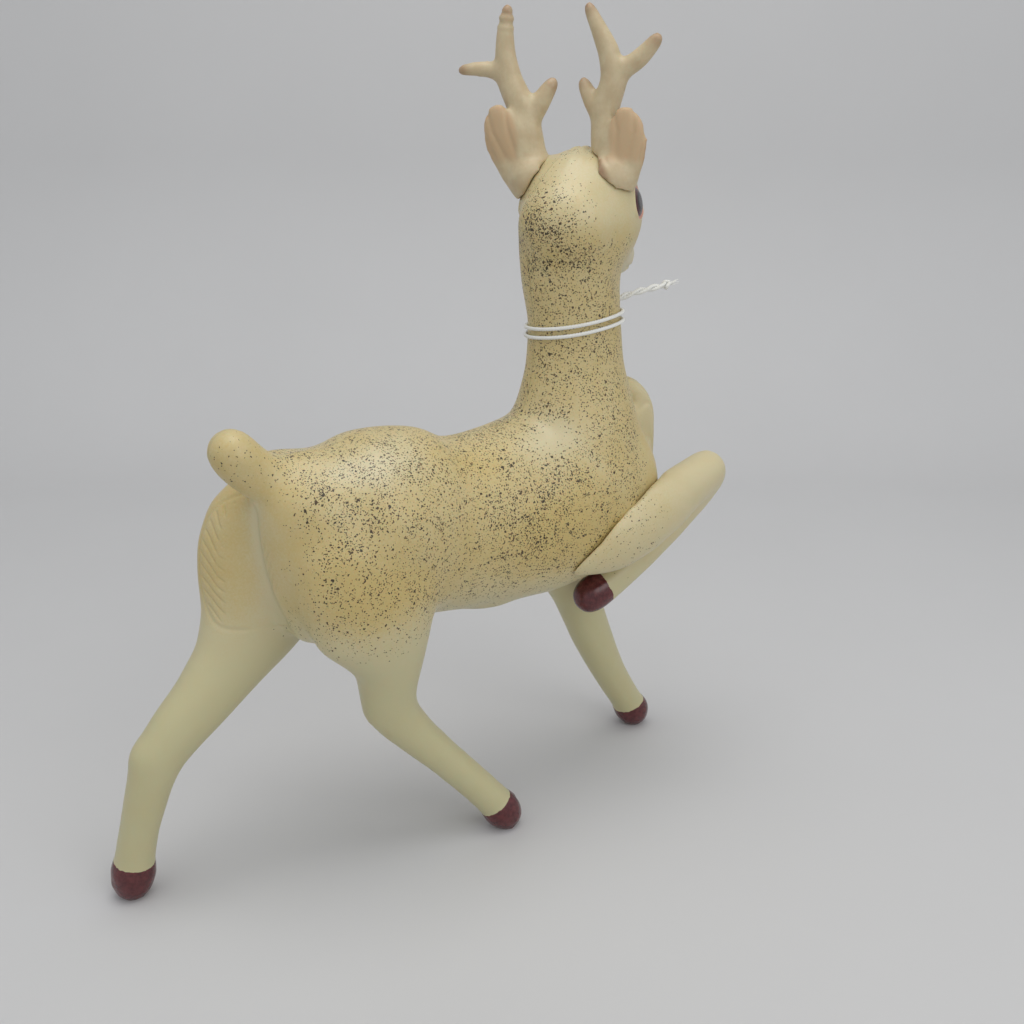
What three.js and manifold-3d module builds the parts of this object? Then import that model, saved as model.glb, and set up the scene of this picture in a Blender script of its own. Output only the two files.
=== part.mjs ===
// A light-up reindeer for the yard: a hollow moulded-plastic prancing deer on three legs, with a lamp inside.
// Millimetres, +Z up. The deer walks toward -Y, its right side is toward -X, and it looks back to its left.
import * as THREE from 'three';
import { mergeVertices } from 'three/addons/utils/BufferGeometryUtils.js';
import Module from 'manifold-3d';

const wasm = await Module();
wasm.setup();

// ---- driving dimensions -------------------------------------------------------------------------
const WALL = 2.2;               // plastic wall
const GAP = 0.3;                // clearance between touching parts
const HEAD_TURN = 38;           // degrees the head is turned to the deer's left
const HEAD_CENTRE = [1, -78, 286];
const SOLE_UP = 3;              // thickness of a hoof's sole
const BELLY = 111;              // height of the lowest skin of the belly
const LAMP_Y = -22;             // the lamp stands on the middle plane, at this y
const HOLDER_R = 10;            // body of the lampholder
const FLANGE_R = 13.4;          // flange that closes the belly hole
const FLANGE_Z = BELLY + 3.2;   // underside of the flange, set back into the belly
const FLANGE_T = 2.4;
const HOLDER_H = 22;            // lampholder above its flange
const CAP_R = 6;                // E12 lamp cap
const BULB_R = 11;              // C7 lamp glass
const STRING_R = 0.85;          // neck twine
const PIN_R = 1.8;              // locating pins between the two halves
const BOSS_R = 4;               // bosses that carry the pins
const BOSS_REACH = 5;
const PIN_REACH = 4;
const PEG_R = 3.2;              // peg that holds an antler in the head
const PEG_RUN_OUT = 5;          // how far a peg's hole reaches past the peg, out through the skin
const PAD_R = 12.2;             // round base of an antler
const SHOULDER_R = 7;           // plug that holds the raised foreleg
const JOINT_Z = 106;            // level where the three standing legs plug into the body
const SPIGOT = 6;               // length of a leg's plug above that level, and of its foot below it
const PLUG_WALL = 1.8;

const PLASTIC = { color: '#e6dcae', roughness: 0.38, metalness: 0 };
const PALE = { color: '#e4e0bd', roughness: 0.36, metalness: 0 };
const TAN = { color: '#dcc49a', roughness: 0.45, metalness: 0 };
const BAKELITE = { color: '#3a2a20', roughness: 0.4, metalness: 0 };
const BRASS = { color: '#c9a24a', roughness: 0.3, metalness: 0.9 };
const STEEL = { color: '#9a9a9c', roughness: 0.35, metalness: 0.9 };
const GLASS = { color: '#f4f4ee', roughness: 0.05, metalness: 0 };
const TWINE = { color: '#f3f3f0', roughness: 0.9, metalness: 0 };

// ---- solids ---------------------------------------------------------------------------------------
// Turns a closed three.js geometry into a solid that can be joined and cut.
function solid(geometry) {
  const plain = geometry.clone();
  for (const name of Object.keys(plain.attributes)) {
    if (name !== 'position') plain.deleteAttribute(name);
  }
  const merged = mergeVertices(plain, 1e-4);
  return new wasm.Manifold(new wasm.Mesh({
    numProp: 3,
    vertProperties: new Float32Array(merged.attributes.position.array),
    triVerts: new Uint32Array(merged.index.array),
  }));
}

function geometryOf(shape) {
  const mesh = shape.getMesh();
  const geometry = new THREE.BufferGeometry();
  geometry.setAttribute('position', new THREE.BufferAttribute(new Float32Array(mesh.vertProperties), 3));
  geometry.setIndex(new THREE.BufferAttribute(new Uint32Array(mesh.triVerts), 1));
  geometry.computeVertexNormals();
  return geometry;
}

function block(lo, hi) {
  const size = hi.map((v, i) => v - lo[i]);
  const box = new THREE.BoxGeometry(...size);
  box.translate(...hi.map((v, i) => (v + lo[i]) / 2));
  return solid(box);
}

// A solid of revolution about the vertical line through (x, y), from [radius, height] points.
function turned(profile, x, y, sides = 16) {
  const lathe = new THREE.LatheGeometry(profile.map((p) => new THREE.Vector2(...p)), sides);
  lathe.rotateX(Math.PI / 2);
  lathe.translate(x, y, 0);
  return solid(lathe);
}

// A straight round bar between two points.
function bar(from, to, radius, sides = 16) {
  const a = new THREE.Vector3(...from);
  const b = new THREE.Vector3(...to);
  const cylinder = new THREE.CylinderGeometry(radius, radius, a.distanceTo(b), sides);
  const direction = b.clone().sub(a).normalize();
  cylinder.applyQuaternion(new THREE.Quaternion().setFromUnitVectors(new THREE.Vector3(0, 1, 0), direction));
  cylinder.translate(...a.add(b).multiplyScalar(0.5).toArray());
  return solid(cylinder);
}

// A section swept along a curve.
function swept(section, path, steps, curveSegments) {
  const settings = { steps, extrudePath: path, curveSegments, bevelEnabled: false };
  return solid(new THREE.ExtrudeGeometry(section, settings));
}

// A body of oval rings along a smooth line, with domed ends. Each station is
// [x, y, z, half width along the side direction, half depth]; grow offsets the whole skin.
const ROUND = { sides: 16, rings: 10, side: [1, 0, 0], grow: 0, dome: [1, 1], caps: 3 };
function limb(stations, settings) {
  const { sides, rings, side, grow, dome, caps } = { ...ROUND, ...settings };
  const centre = new THREE.CatmullRomCurve3(stations.map((s) => new THREE.Vector3(s[0], s[1], s[2])));
  const sizes = new THREE.CatmullRomCurve3(stations.map((s) => new THREE.Vector3(s[3], s[4], 0)));
  const sideways = new THREE.Vector3(...side);
  const positions = [];
  const index = [];
  const frames = [];
  const frameAt = (t) => {
    const along = centre.getTangent(t);
    const across = sideways.clone().addScaledVector(along, -sideways.dot(along)).normalize();
    const up = new THREE.Vector3().crossVectors(along, across);
    const size = sizes.getPoint(t);
    return { at: centre.getPoint(t), along, across, up, a: size.x + grow, b: size.y + grow };
  };
  const ring = (f, reach, scale) => frames.push({ ...f, reach, scale });
  const first = frameAt(0);
  const last = frameAt(1);
  for (let k = caps - 1; k >= 1; k--) {
    const angle = (Math.PI / 2) * (k / caps);
    ring(first, -Math.sin(angle) * Math.min(first.a, first.b) * dome[0], Math.cos(angle));
  }
  for (let k = 0; k <= rings; k++) ring(frameAt(k / rings), 0, 1);
  for (let k = 1; k < caps; k++) {
    const angle = (Math.PI / 2) * (k / caps);
    ring(last, Math.sin(angle) * Math.min(last.a, last.b) * dome[1], Math.cos(angle));
  }
  const pole = (f, reach) => f.at.clone().addScaledVector(f.along, reach).toArray();
  positions.push(...pole(first, -Math.min(first.a, first.b) * dome[0]));
  for (const f of frames) {
    for (let j = 0; j < sides; j++) {
      const angle = (2 * Math.PI * j) / sides;
      const point = f.at.clone().addScaledVector(f.along, f.reach);
      point.addScaledVector(f.across, f.a * f.scale * Math.cos(angle));
      point.addScaledVector(f.up, f.b * f.scale * Math.sin(angle));
      positions.push(...point.toArray());
    }
  }
  const end = 1 + frames.length * sides;
  positions.push(...pole(last, Math.min(last.a, last.b) * dome[1]));
  for (let j = 0; j < sides; j++) {
    const next = (j + 1) % sides;
    index.push(0, 1 + next, 1 + j);
    for (let k = 0; k < frames.length - 1; k++) {
      const low = 1 + k * sides;
      const high = low + sides;
      index.push(low + j, low + next, high + next, low + j, high + next, high + j);
    }
    const top = 1 + (frames.length - 1) * sides;
    index.push(top + j, top + next, end);
  }
  const geometry = new THREE.BufferGeometry();
  geometry.setAttribute('position', new THREE.Float32BufferAttribute(positions, 3));
  geometry.setIndex(index);
  const made = solid(geometry);
  return made.volume() > 0 ? made : solid(flipped(geometry));
}

// The same surface with its faces pointing the other way.
function flipped(geometry) {
  const turnedOver = geometry.clone();
  const order = turnedOver.index.array;
  for (let k = 0; k < order.length; k += 3) [order[k], order[k + 1]] = [order[k + 1], order[k]];
  return turnedOver;
}

const joined = (shapes) => shapes.reduce((all, shape) => all.add(shape));
const above = (z) => block([-200, -400, z], [200, 400, 500]);

// ---- the deer's form ------------------------------------------------------------------------------
const TRUNK = [
  [0, 58, 168, 34, 34], [0, 42, 165, 42, 42], [0, 22, 160, 40, 45], [0, 0, 155, 35, 41],
  [0, -26, 154, 35, 43], [0, -54, 156, 38, 46], [0, -80, 161, 37, 46], [0, -99, 166, 30, 37],
];
const NECK = [
  [0, -76, 186, 31, 38], [0, -77, 206, 25, 29.5], [0, -76.5, 222, 21, 25], [0, -76, 243, 20, 23.2],
  [0.5, -75, 262, 22.5, 25.5], [0.5, -75.5, 278, 25.5, 27], [0.5, -77, 292, 26, 26.5],
];
const SEAT = [[0, 69, 178, 25, 20], [0, 67, 150, 26, 19.5], [0, 66, 132, 21, 15.5], [0, 66, 126, 16, 12.5]];
const TAIL = [
  [0, 66, 187, 15, 15], [0, 79, 190, 11, 11.5], [0, 89, 197, 10.5, 10.8], [0, 95.5, 205, 11, 10.4],
];
const BIB = [[2, -110, 208, 4.5, 5], [3, -120, 198, 8, 6.5], [3, -122, 182, 8.5, 7], [2, -121, 164, 8, 7]];
const HIND_LEFT = [
  [22, 64, 161, 23, 38], [25, 73, 140, 22, 35.5], [25, 84, 119, 18.5, 25.5], [22, 98, 102, 13.4, 17.6],
  [19, 117, 85, 11.6, 13.8], [18, 132, 72, 10.8, 12.4], [19, 139, 56, 9.8, 10.2], [22, 146, 30, 8.6, 8.8],
  [24, 149, 14, 9, 9.4], [24.5, 150, 7, 9.4, 9.8],
];
const HIND_RIGHT = [
  [-18, 44, 158, 23, 38], [-21, 46, 135, 21, 35], [-21, 42, 117, 17, 24], [-19.5, 39, 101, 13.5, 15.8],
  [-17, 39, 87, 12, 13.4], [-16, 35, 75, 11, 11.8], [-17, 24, 60, 9.6, 9.8], [-20, 7, 40, 8.7, 8.7],
  [-24, -11, 18, 8.5, 8.7], [-25.5, -19, 6.6, 9, 9.3],
];
const FORE_LEFT = [
  [14, -72, 130, 16, 20], [16, -82, 112, 13.5, 15], [17, -92, 94, 12, 12.8], [17, -104, 66, 11, 11.6],
  [17, -118, 38, 9.3, 9.6], [17, -131, 17, 8.8, 9], [17, -137, 7, 9.3, 9.8],
];
const FOREARM = [
  [-29, -58, 133, 7, 8], [-29, -69, 137.5, 11, 15], [-30, -84, 143, 13.5, 18], [-31, -104, 150, 12.5, 16],
  [-29, -124, 158, 11, 13], [-26, -142, 164, 10.4, 10.8],
];
const SHIN = [
  [-25, -144, 162, 10, 10.4], [-19, -138, 147, 9.6, 9.8], [-15, -120, 129, 8.9, 9],
  [-13, -100, 114, 8.7, 8.7], [-12, -86, 107, 9.4, 9.4], [-11.5, -80, 104, 9.6, 9.8],
];

const turn = THREE.MathUtils.degToRad(HEAD_TURN);
const HEAD_FORWARD = [Math.sin(turn), -Math.cos(turn), 0];
const HEAD_LEFT = [Math.cos(turn), Math.sin(turn), 0];
const HEAD_UP = [0, 0, 1];
// A point given as [left, forward, up] of the turned head, in the deer's frame.
function onHead([left, forward, up]) {
  return HEAD_CENTRE.map((c, i) => c + left * HEAD_LEFT[i] + forward * HEAD_FORWARD[i] + up * HEAD_UP[i]);
}
const headStations = (list) => list.map(([...place]) => [...onHead(place), place[3], place[4]]);

const SKULL = headStations([
  [1.5, -12, 1, 24, 22.5], [0.3, -2, 3, 29, 31], [-1.5, 14, 2, 27.3, 28], [-3, 32, -8, 18, 19],
  [-3, 46, -15, 13, 13.5], [-3, 60, -19, 11.5, 11],
]);

const ANTLERS = {
  left: {
    beam: [[20, -2, 18, 8, 7], [22.5, -3, 34, 7, 6.6], [25.5, -3, 48, 7, 6.2], [33, -4, 65, 5.8, 5.2],
      [34, -5, 79, 4.4, 4.2], [32.5, -6, 91, 3, 3]],
    outer: [[34, -4, 65, 4.8, 4.4], [43, -4, 67.5, 3.8, 3.6], [54, -5, 67, 2.7, 2.7]],
    inner: [[25, -3, 42, 5.4, 5], [18.5, -2, 53, 4.8, 4.6], [13.2, -1, 61, 3.2, 3.2]],
    ear: [[23, -4, 14, 7, 5], [29, -6, 29, 11, 4.2], [34.5, -9, 42, 10.5, 3], [36.5, -10, 50.5, 5, 2]],
    pad: [21, -2, 21],
    peg: [[18.5, 0, 30], [12, 1, 8]],
  },
  right: {
    beam: [[-14, -2, 18, 8, 7.5], [-13, -3, 34, 7, 6.6], [-11.5, -3, 48, 6.6, 6.2], [-16, -4, 65, 6, 5.4],
      [-10, -5, 80, 4.2, 4], [-4.5, -6, 91, 2.8, 2.8]],
    outer: [[-16, -4, 64, 4.8, 4.6], [-27, -4, 71, 4.4, 4.2], [-34, -5, 78, 3.2, 3.2]],
    inner: [[-12, -3, 44, 5, 4.8], [-6, -2, 53, 4.2, 4.2], [-1.5, -1, 61, 3, 3]],
    ear: [[-17, -5, 14, 8, 5], [-21, -7, 28, 10.5, 4.2], [-23, -9, 41, 10, 3], [-22, -10, 49.5, 5, 2]],
    pad: [-15.5, -4, 21],
    peg: [[-14, 0, 30], [-9, 1, 8]],
  },
};

function skull(grow) {
  return limb(SKULL, { sides: finer(grow, 16, 10), rings: finer(grow, 8, 5), grow, side: HEAD_LEFT });
}

// Every standing leg as [stations, sides].
const LEGS = {
  left_hind_leg: HIND_LEFT,
  right_hind_leg: HIND_RIGHT,
  left_foreleg: FORE_LEFT,
};
// Inner skins are only seen through the lamp hole, so they are coarser than outer ones.
const finer = (grow, outer, inner) => (grow < -1 ? inner : outer);
function legForm(stations, grow) {
  return limb(stations, { sides: finer(grow, 12, 8), rings: 12, grow, dome: [1.7, 1], caps: 2 });
}

function bodyForm(grow) {
  const shapes = [
    limb(TRUNK, { sides: finer(grow, 20, 12), rings: finer(grow, 10, 7), grow, dome: [0.8, 0.7] }),
    limb(SEAT, { sides: finer(grow, 14, 8), rings: 4, grow }),
    limb(NECK, { sides: finer(grow, 16, 10), rings: 6, grow }),
    skull(grow),
    ...Object.values(LEGS).map((stations) => legForm(stations, grow)),
  ];
  return joined(shapes);
}

function raisedLegForm(grow) {
  return joined([
    limb(FOREARM, { sides: finer(grow, 12, 8), rings: 6, grow }),
    limb(SHIN, { sides: finer(grow, 12, 8), rings: 6, grow, caps: 2 }),
  ]);
}

function ball([x, y, z], rx, ry, rz) {
  const sphere = new THREE.SphereGeometry(1, 12, 8);
  sphere.scale(rx, ry, rz);
  sphere.translate(x, y, z);
  return solid(sphere);
}

// ---- the outer mouldings --------------------------------------------------------------------------
const bodySkin = joined([
  bodyForm(0),
  limb(TAIL, { sides: 12, rings: 4 }),
  limb(BIB, { sides: 10, rings: 5 }),
]);
const bodyRoom = bodyForm(-WALL);

// The round seat that the lampholder plugs into, set back inside the belly.
const SEAT_HOLE = 12.2;
const RECESS_R = FLANGE_R + 0.8;
const SEAT_R = RECESS_R + 2.4;
const LEDGE_Z = FLANGE_Z + FLANGE_T + GAP;
function lampSeat() {
  const profile = [[0, BELLY - 6], [SEAT_R, BELLY - 6], [SEAT_R, LEDGE_Z + 3], [0, LEDGE_Z + 3]];
  return turned(profile, 0, LAMP_Y, 24).intersect(bodySkin);
}
function lampHole() {
  const profile = [[0, BELLY - 20], [RECESS_R, BELLY - 20], [RECESS_R, LEDGE_Z], [SEAT_HOLE, LEDGE_Z],
    [SEAT_HOLE, LEDGE_Z + 10], [0, LEDGE_Z + 10]];
  return turned(profile, 0, LAMP_Y, 24);
}

// Locating pins on the right half and their sockets on the left half, as [y, z].
const PIN_PLACES = [[56, 197], [20, 118.5], [-60, 115], [-115, 168], [-55.5, 226], [-99, 232]];

function bodyHalf(sideSign) {
  const inside = (y, z, from, to, radius) => bar([from, y, z], [to, y, z], radius, 8);
  const bosses = PIN_PLACES.map(([y, z]) => inside(y, z, 0, sideSign * BOSS_REACH, BOSS_R));
  let shell = bodySkin.subtract(bodyRoom);
  shell = shell.add(joined(bosses).intersect(bodySkin)).add(lampSeat()).subtract(lampHole());
  const [from, to] = sideSign > 0 ? [GAP / 2, 200] : [-200, -GAP / 2];
  const half = block([from, -400, 0], [to, 400, 500]);
  shell = shell.intersect(half).intersect(above(JOINT_Z + GAP / 2));
  if (sideSign > 0) {
    const sockets = PIN_PLACES.map(([y, z]) => inside(y, z, -1, PIN_REACH + 0.4, PIN_R + GAP));
    shell = shell.subtract(joined(sockets));
  } else {
    const pins = PIN_PLACES.map(([y, z]) => inside(y, z, -BOSS_REACH + 1, PIN_REACH, PIN_R));
    shell = shell.add(joined(pins));
  }
  for (const antler of Object.values(ANTLERS)) {
    shell = shell.subtract(pegOf(antler, PEG_R + GAP, PEG_RUN_OUT));
  }
  return shell.subtract(shoulderPlug(SHOULDER_R + GAP));
}

// A standing leg: hollow from its sole up, with a plug that goes up into the body.
function standingLeg(stations) {
  const top = JOINT_Z - GAP / 2;
  const between = (low, high) => block([-200, -400, low], [200, 400, high]);
  const skin = legForm(stations, 0).intersect(between(0, top));
  const room = legForm(stations, -WALL).intersect(above(SOLE_UP));
  const plugFoot = legForm(stations, 0.1 - WALL).intersect(between(top - SPIGOT, top));
  const plug = legForm(stations, -WALL - GAP).intersect(between(top - SPIGOT, top + SPIGOT));
  const plugRoom = legForm(stations, -WALL - GAP - PLUG_WALL)
    .intersect(between(top - SPIGOT - 2, top + SPIGOT + 2));
  return skin.subtract(room).add(plugFoot.add(plug).subtract(plugRoom));
}

const SHOULDER_PLUG = [[-39, -88, 146], [-29, -88, 146]];
function shoulderPlug(radius) {
  return bar(SHOULDER_PLUG[0], SHOULDER_PLUG[1], radius, 12);
}

// The folded foreleg is hollow too, with a wall against the shoulder and a hollow plug that goes through it.
function raisedForeleg() {
  const skin = raisedLegForm(0).subtract(bodyForm(GAP));
  const room = raisedLegForm(-WALL).subtract(bodyForm(GAP + WALL));
  const bore = bar([-41, -88, 146], [-27, -88, 146], SHOULDER_R - PLUG_WALL, 12);
  return skin.subtract(room).add(shoulderPlug(SHOULDER_R)).subtract(bore);
}

function pegOf({ peg }, radius, further = 0) {
  const [outer, inner] = peg.map((place) => new THREE.Vector3(...onHead(place)));
  outer.add(outer.clone().sub(inner).setLength(further));
  return bar(outer.toArray(), inner.toArray(), radius, 10);
}

function antlerAndEar(antler, headClearance) {
  const round = { sides: 8, rings: 4, side: HEAD_LEFT, caps: 2 };
  const branches = [
    limb(headStations(antler.beam), { ...round, rings: 7 }),
    limb(headStations(antler.outer), { ...round, side: HEAD_FORWARD }),
    limb(headStations(antler.inner), round),
    limb(headStations(antler.ear), { sides: 8, rings: 5, side: HEAD_LEFT, caps: 2 }),
    ball(onHead(antler.pad), PAD_R, PAD_R, PAD_R),
  ];
  return joined(branches).subtract(headClearance).add(pegOf(antler, PEG_R));
}

// ---- lamp -----------------------------------------------------------------------------------------
const HOLDER_Z = FLANGE_Z + FLANGE_T;
const HOLDER_TOP = HOLDER_Z + HOLDER_H;
const BORE_R = 7.6;
const BORE_Z = HOLDER_Z + 4;
const CAP_Z = HOLDER_Z + 8;
const CAP_H = 14;
const GLASS_Z = CAP_Z + CAP_H - 1.6;
const STEM_H = 9;

// A solid or a tube about the lamp's axis.
const onAxis = (profile, sides = 16) => turned(profile, 0, LAMP_Y, sides);
function sleeve(inner, outer, low, high, sides = 16) {
  return onAxis([[inner, low], [outer, low], [outer, high], [inner, high], [inner, low]], sides);
}

function lampholder() {
  const outside = onAxis([[0, FLANGE_Z], [FLANGE_R - 0.6, FLANGE_Z], [FLANGE_R, FLANGE_Z + 0.6],
    [FLANGE_R, HOLDER_Z], [HOLDER_R, HOLDER_Z], [HOLDER_R, HOLDER_TOP], [0, HOLDER_TOP]], 20);
  const bore = onAxis([[0, BORE_Z], [BORE_R, BORE_Z], [BORE_R, HOLDER_TOP + 2], [0, HOLDER_TOP + 2]], 20);
  const inlet = bar([0, LAMP_Y + 4, FLANGE_Z - 2], [0, LAMP_Y + 4, BORE_Z + 2], 1.8);
  return outside.subtract(bore).subtract(inlet);
}

function screwShell() {
  return sleeve(BORE_R - 0.7, BORE_R - 0.2, BORE_Z + 2, HOLDER_TOP - 0.5);
}

// The sprung strip under the lamp's tip.
function centreContact() {
  const route = [[-5.5, 0.6], [-3, 0.6], [0.5, 1.9], [3, 1.3]];
  const strip = new THREE.CatmullRomCurve3(route.map(([x, up]) => new THREE.Vector3(x, LAMP_Y, BORE_Z + up)));
  const section = new THREE.Shape();
  section.absellipse(0, 0, 1.5, 0.25, 0, 2 * Math.PI, false, 0);
  return swept(section, strip, 6, 4);
}

// Spring-steel band with two ears that rub in the belly hole.
function holderClip() {
  const low = LEDGE_Z + 0.2;
  const band = sleeve(HOLDER_R + 0.2, HOLDER_R + 0.8, low, low + 5);
  const ears = [1, -1].map((sign) => {
    const reach = [sign * (HOLDER_R + 0.5), sign * (SEAT_HOLE - 0.9)].sort((p, q) => p - q);
    return block([reach[0], LAMP_Y - 2.5, low + 0.5], [reach[1], LAMP_Y + 2.5, low + 4.5]);
  });
  return joined([band, ...ears]);
}

const lampCap = () => sleeve(CAP_R - 0.4, CAP_R, CAP_Z + 1.8, CAP_Z + CAP_H);
const lampInsulator = () => onAxis([[0, CAP_Z + 0.4], [3.6, CAP_Z + 0.4], [CAP_R - 0.7, CAP_Z + 2.4],
  [CAP_R - 0.7, CAP_Z + 4], [0, CAP_Z + 4]]);
const lampTip = () => onAxis([[0, CAP_Z - 1], [1.4, CAP_Z - 0.8], [2.1, CAP_Z + 0.1], [0, CAP_Z + 0.1]], 16);

// The pear-shaped glass, open at its neck.
function lampGlass() {
  const outline = [[5, 0], [5.4, 3], [9.6, 10], [BULB_R, 16], [9.7, 24], [6, 32], [2, 36.3], [0, 37]];
  const curve = new THREE.SplineCurve(outline.map((p) => new THREE.Vector2(...p)));
  const outer = curve.getPoints(11).map((p) => [Math.max(p.x, 0), p.y + GLASS_Z]);
  const inner = curve.getPoints(11).map((p) => [Math.max(p.x - 0.7, 0), p.y + GLASS_Z - 0.7]);
  outer[outer.length - 1][0] = 0;
  const room = onAxis([[0, GLASS_Z - 3], [inner[0][0], GLASS_Z - 3], ...inner]);
  return onAxis([[0, GLASS_Z], ...outer]).subtract(room);
}

function lampStem() {
  return onAxis([[0, CAP_Z + 4.3], [4.1, CAP_Z + 4.3], [3.9, GLASS_Z + 1], [2, GLASS_Z + STEM_H - 2],
    [2, GLASS_Z + STEM_H], [0, GLASS_Z + STEM_H]], 16);
}

function filament() {
  const low = GLASS_Z + STEM_H + GAP;
  const half = [[1.4, 0], [2.4, 5], [3.6, 10], [1.5, 11.6]];
  const route = [...half.map(([x, up]) => [-x, up]), [0, 11.2], ...half.toReversed()];
  const wire = new THREE.CatmullRomCurve3(route.map(([x, up]) => new THREE.Vector3(x, LAMP_Y, low + up)));
  const section = new THREE.Shape();
  section.absarc(0, 0, 0.25, 0, 2 * Math.PI, false);
  return swept(section, wire, 14, 2);
}

// ---- neck string ----------------------------------------------------------------------------------
const STRING_Z = [239, 243.4];
const NECK_A = 20.9;
const NECK_B = 24;
const NECK_Y = -76;
const TAIL_R = 1.7;
const HITCH_R = 1.5;
const HITCH = [8.4, -99.2];     // where the turns are hitched, under the throat
const STRING_TAIL = [[9, -99.9, 243.5], [7.5, -104, 247], [6, -110, 250], [5, -118, 252], [5, -128, 253.2],
  [5, -138, 254]];

// One turn of twine round the oval neck.
function neckTurn(z) {
  const ring = 10;
  const torus = new THREE.TorusGeometry(ring, STRING_R, 6, 28);
  const place = torus.attributes.position;
  const a = NECK_A + STRING_R + GAP;
  const b = NECK_B + STRING_R + GAP;
  for (let k = 0; k < place.count; k++) {
    const reach = Math.hypot(place.getX(k), place.getY(k));
    const [c, s] = [place.getX(k) / reach, place.getY(k) / reach];
    const normal = new THREE.Vector2(c / a, s / b).normalize();
    const out = reach - ring;
    place.setXYZ(k, a * c + out * normal.x, NECK_Y + b * s + out * normal.y, z + place.getZ(k));
  }
  return solid(torus);
}

function neckString() {
  const hitch = bar([...HITCH, STRING_Z[0] - 0.8], [...HITCH, STRING_Z[1] + 0.8], HITCH_R, 10);
  return joined([...STRING_Z.map(neckTurn), hitch]);
}

function stringTail() {
  const route = new THREE.CatmullRomCurve3(STRING_TAIL.map((p) => new THREE.Vector3(...p)));
  const section = new THREE.Shape();
  section.absarc(0, 0, TAIL_R, 0, 2 * Math.PI, false);
  return swept(section, route, 8, 4)
    .subtract(bar([...HITCH, 230], [...HITCH, 250], HITCH_R + GAP, 10));
}

// ---- assembly -------------------------------------------------------------------------------------
function part(name, shape, look) {
  const mesh = new THREE.Mesh(geometryOf(shape), new THREE.MeshStandardMaterial(look));
  mesh.name = name;
  return mesh;
}

const bodyClearance = bodyForm(GAP);
const lampParts = new THREE.Group();
lampParts.add(
  part('lamp_cap', lampCap(), BRASS),
  part('lamp_insulator', lampInsulator(), BAKELITE),
  part('lamp_tip', lampTip(), STEEL),
  part('lamp_glass', lampGlass(), GLASS),
  part('lamp_stem', lampStem(), GLASS),
  part('filament', filament(), STEEL),
);
const holderParts = new THREE.Group();
holderParts.add(
  part('lampholder', lampholder(), BAKELITE),
  part('screw_shell', screwShell(), BRASS),
  part('centre_contact', centreContact(), BRASS),
  part('holder_clip', holderClip(), STEEL),
  lampParts,
);

const group = new THREE.Group();
group.add(
  part('right_body_shell', bodyHalf(-1), PLASTIC),
  part('left_body_shell', bodyHalf(1), PLASTIC),
  ...Object.entries(LEGS).map(([name, stations]) => part(name, standingLeg(stations), PALE)),
  part('right_foreleg', raisedForeleg(), PALE),
  part('left_antler_and_ear', antlerAndEar(ANTLERS.left, bodyClearance), TAN),
  part('right_antler_and_ear', antlerAndEar(ANTLERS.right, bodyClearance), TAN),
  part('neck_string', neckString(), TWINE),
  part('string_tail', stringTail(), TWINE),
  holderParts,
);

// The origin is the middle of the deer's box, on the ground.
const box = new THREE.Box3().setFromObject(group);
group.position.set(-(box.min.x + box.max.x) / 2, -(box.min.y + box.max.y) / 2, -box.min.z);
group.updateMatrixWorld(true);

export default group;
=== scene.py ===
"""A light-up reindeer: a hollow plastic deer, sprayed and flecked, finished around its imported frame."""
import math
import random

import bpy
import numpy as np
from bpy.props import FloatProperty, FloatVectorProperty, IntProperty, PointerProperty
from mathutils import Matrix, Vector


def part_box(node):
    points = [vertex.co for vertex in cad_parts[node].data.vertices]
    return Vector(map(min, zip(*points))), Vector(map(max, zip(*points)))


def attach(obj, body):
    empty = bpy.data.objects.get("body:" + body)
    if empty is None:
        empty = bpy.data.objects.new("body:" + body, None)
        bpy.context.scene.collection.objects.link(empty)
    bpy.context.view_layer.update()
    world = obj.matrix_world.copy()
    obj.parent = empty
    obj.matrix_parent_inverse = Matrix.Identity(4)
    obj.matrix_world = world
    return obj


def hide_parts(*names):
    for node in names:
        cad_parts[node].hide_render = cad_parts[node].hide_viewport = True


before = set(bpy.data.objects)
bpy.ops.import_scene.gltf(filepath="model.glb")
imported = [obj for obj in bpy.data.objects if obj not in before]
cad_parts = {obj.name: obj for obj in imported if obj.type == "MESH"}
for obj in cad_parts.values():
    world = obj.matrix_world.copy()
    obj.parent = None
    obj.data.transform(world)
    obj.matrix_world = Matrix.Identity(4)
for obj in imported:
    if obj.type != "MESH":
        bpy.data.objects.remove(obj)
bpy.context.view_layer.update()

bl_info = {
    "name": "Light-up Reindeer",
    "version": (1, 0, 0),
    "blender": (4, 5, 0),
    "location": "3D View > Sidebar > Reindeer",
    "description": "Builds the mouldings, lamp, twine and stage of a light-up reindeer around its frame",
    "category": "Object",
}

# ---- places ----
# The deer is drawn in millimetres about a point on the ground under its middle plane. The lamp stands
# on that plane, 22 mm in front of the point.
MM = 0.001
LAMP_AHEAD = 22.0
_low, _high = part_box("lampholder")
ORIGIN = Vector(((_low.x + _high.x) / 2, (_low.y + _high.y) / 2 + LAMP_AHEAD * MM, 0.0))
SEAM = 0.05                                # half the gap between the two halves, mm
LEG_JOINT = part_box("right_body_shell")[0].z / MM   # level where the standing legs plug in, mm

HEAD_TURN = math.radians(38)
HEAD_CENTRE = np.array([1.0, -78.0, 286.0])
HEAD_AXES = np.array([
    [math.cos(HEAD_TURN), math.sin(HEAD_TURN), 0.0],
    [math.sin(HEAD_TURN), -math.cos(HEAD_TURN), 0.0],
    [0.0, 0.0, 1.0],
])                                         # rows: left, forward and up of the turned head

STANDING_LEGS = ("left_hind_leg", "right_hind_leg", "left_foreleg")
SHELLS = ("right_body_shell", "left_body_shell")


def at(x, y, z):
    """A point of the deer's drawing, in metres."""
    return ORIGIN + Vector((x, y, z)) * MM


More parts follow.
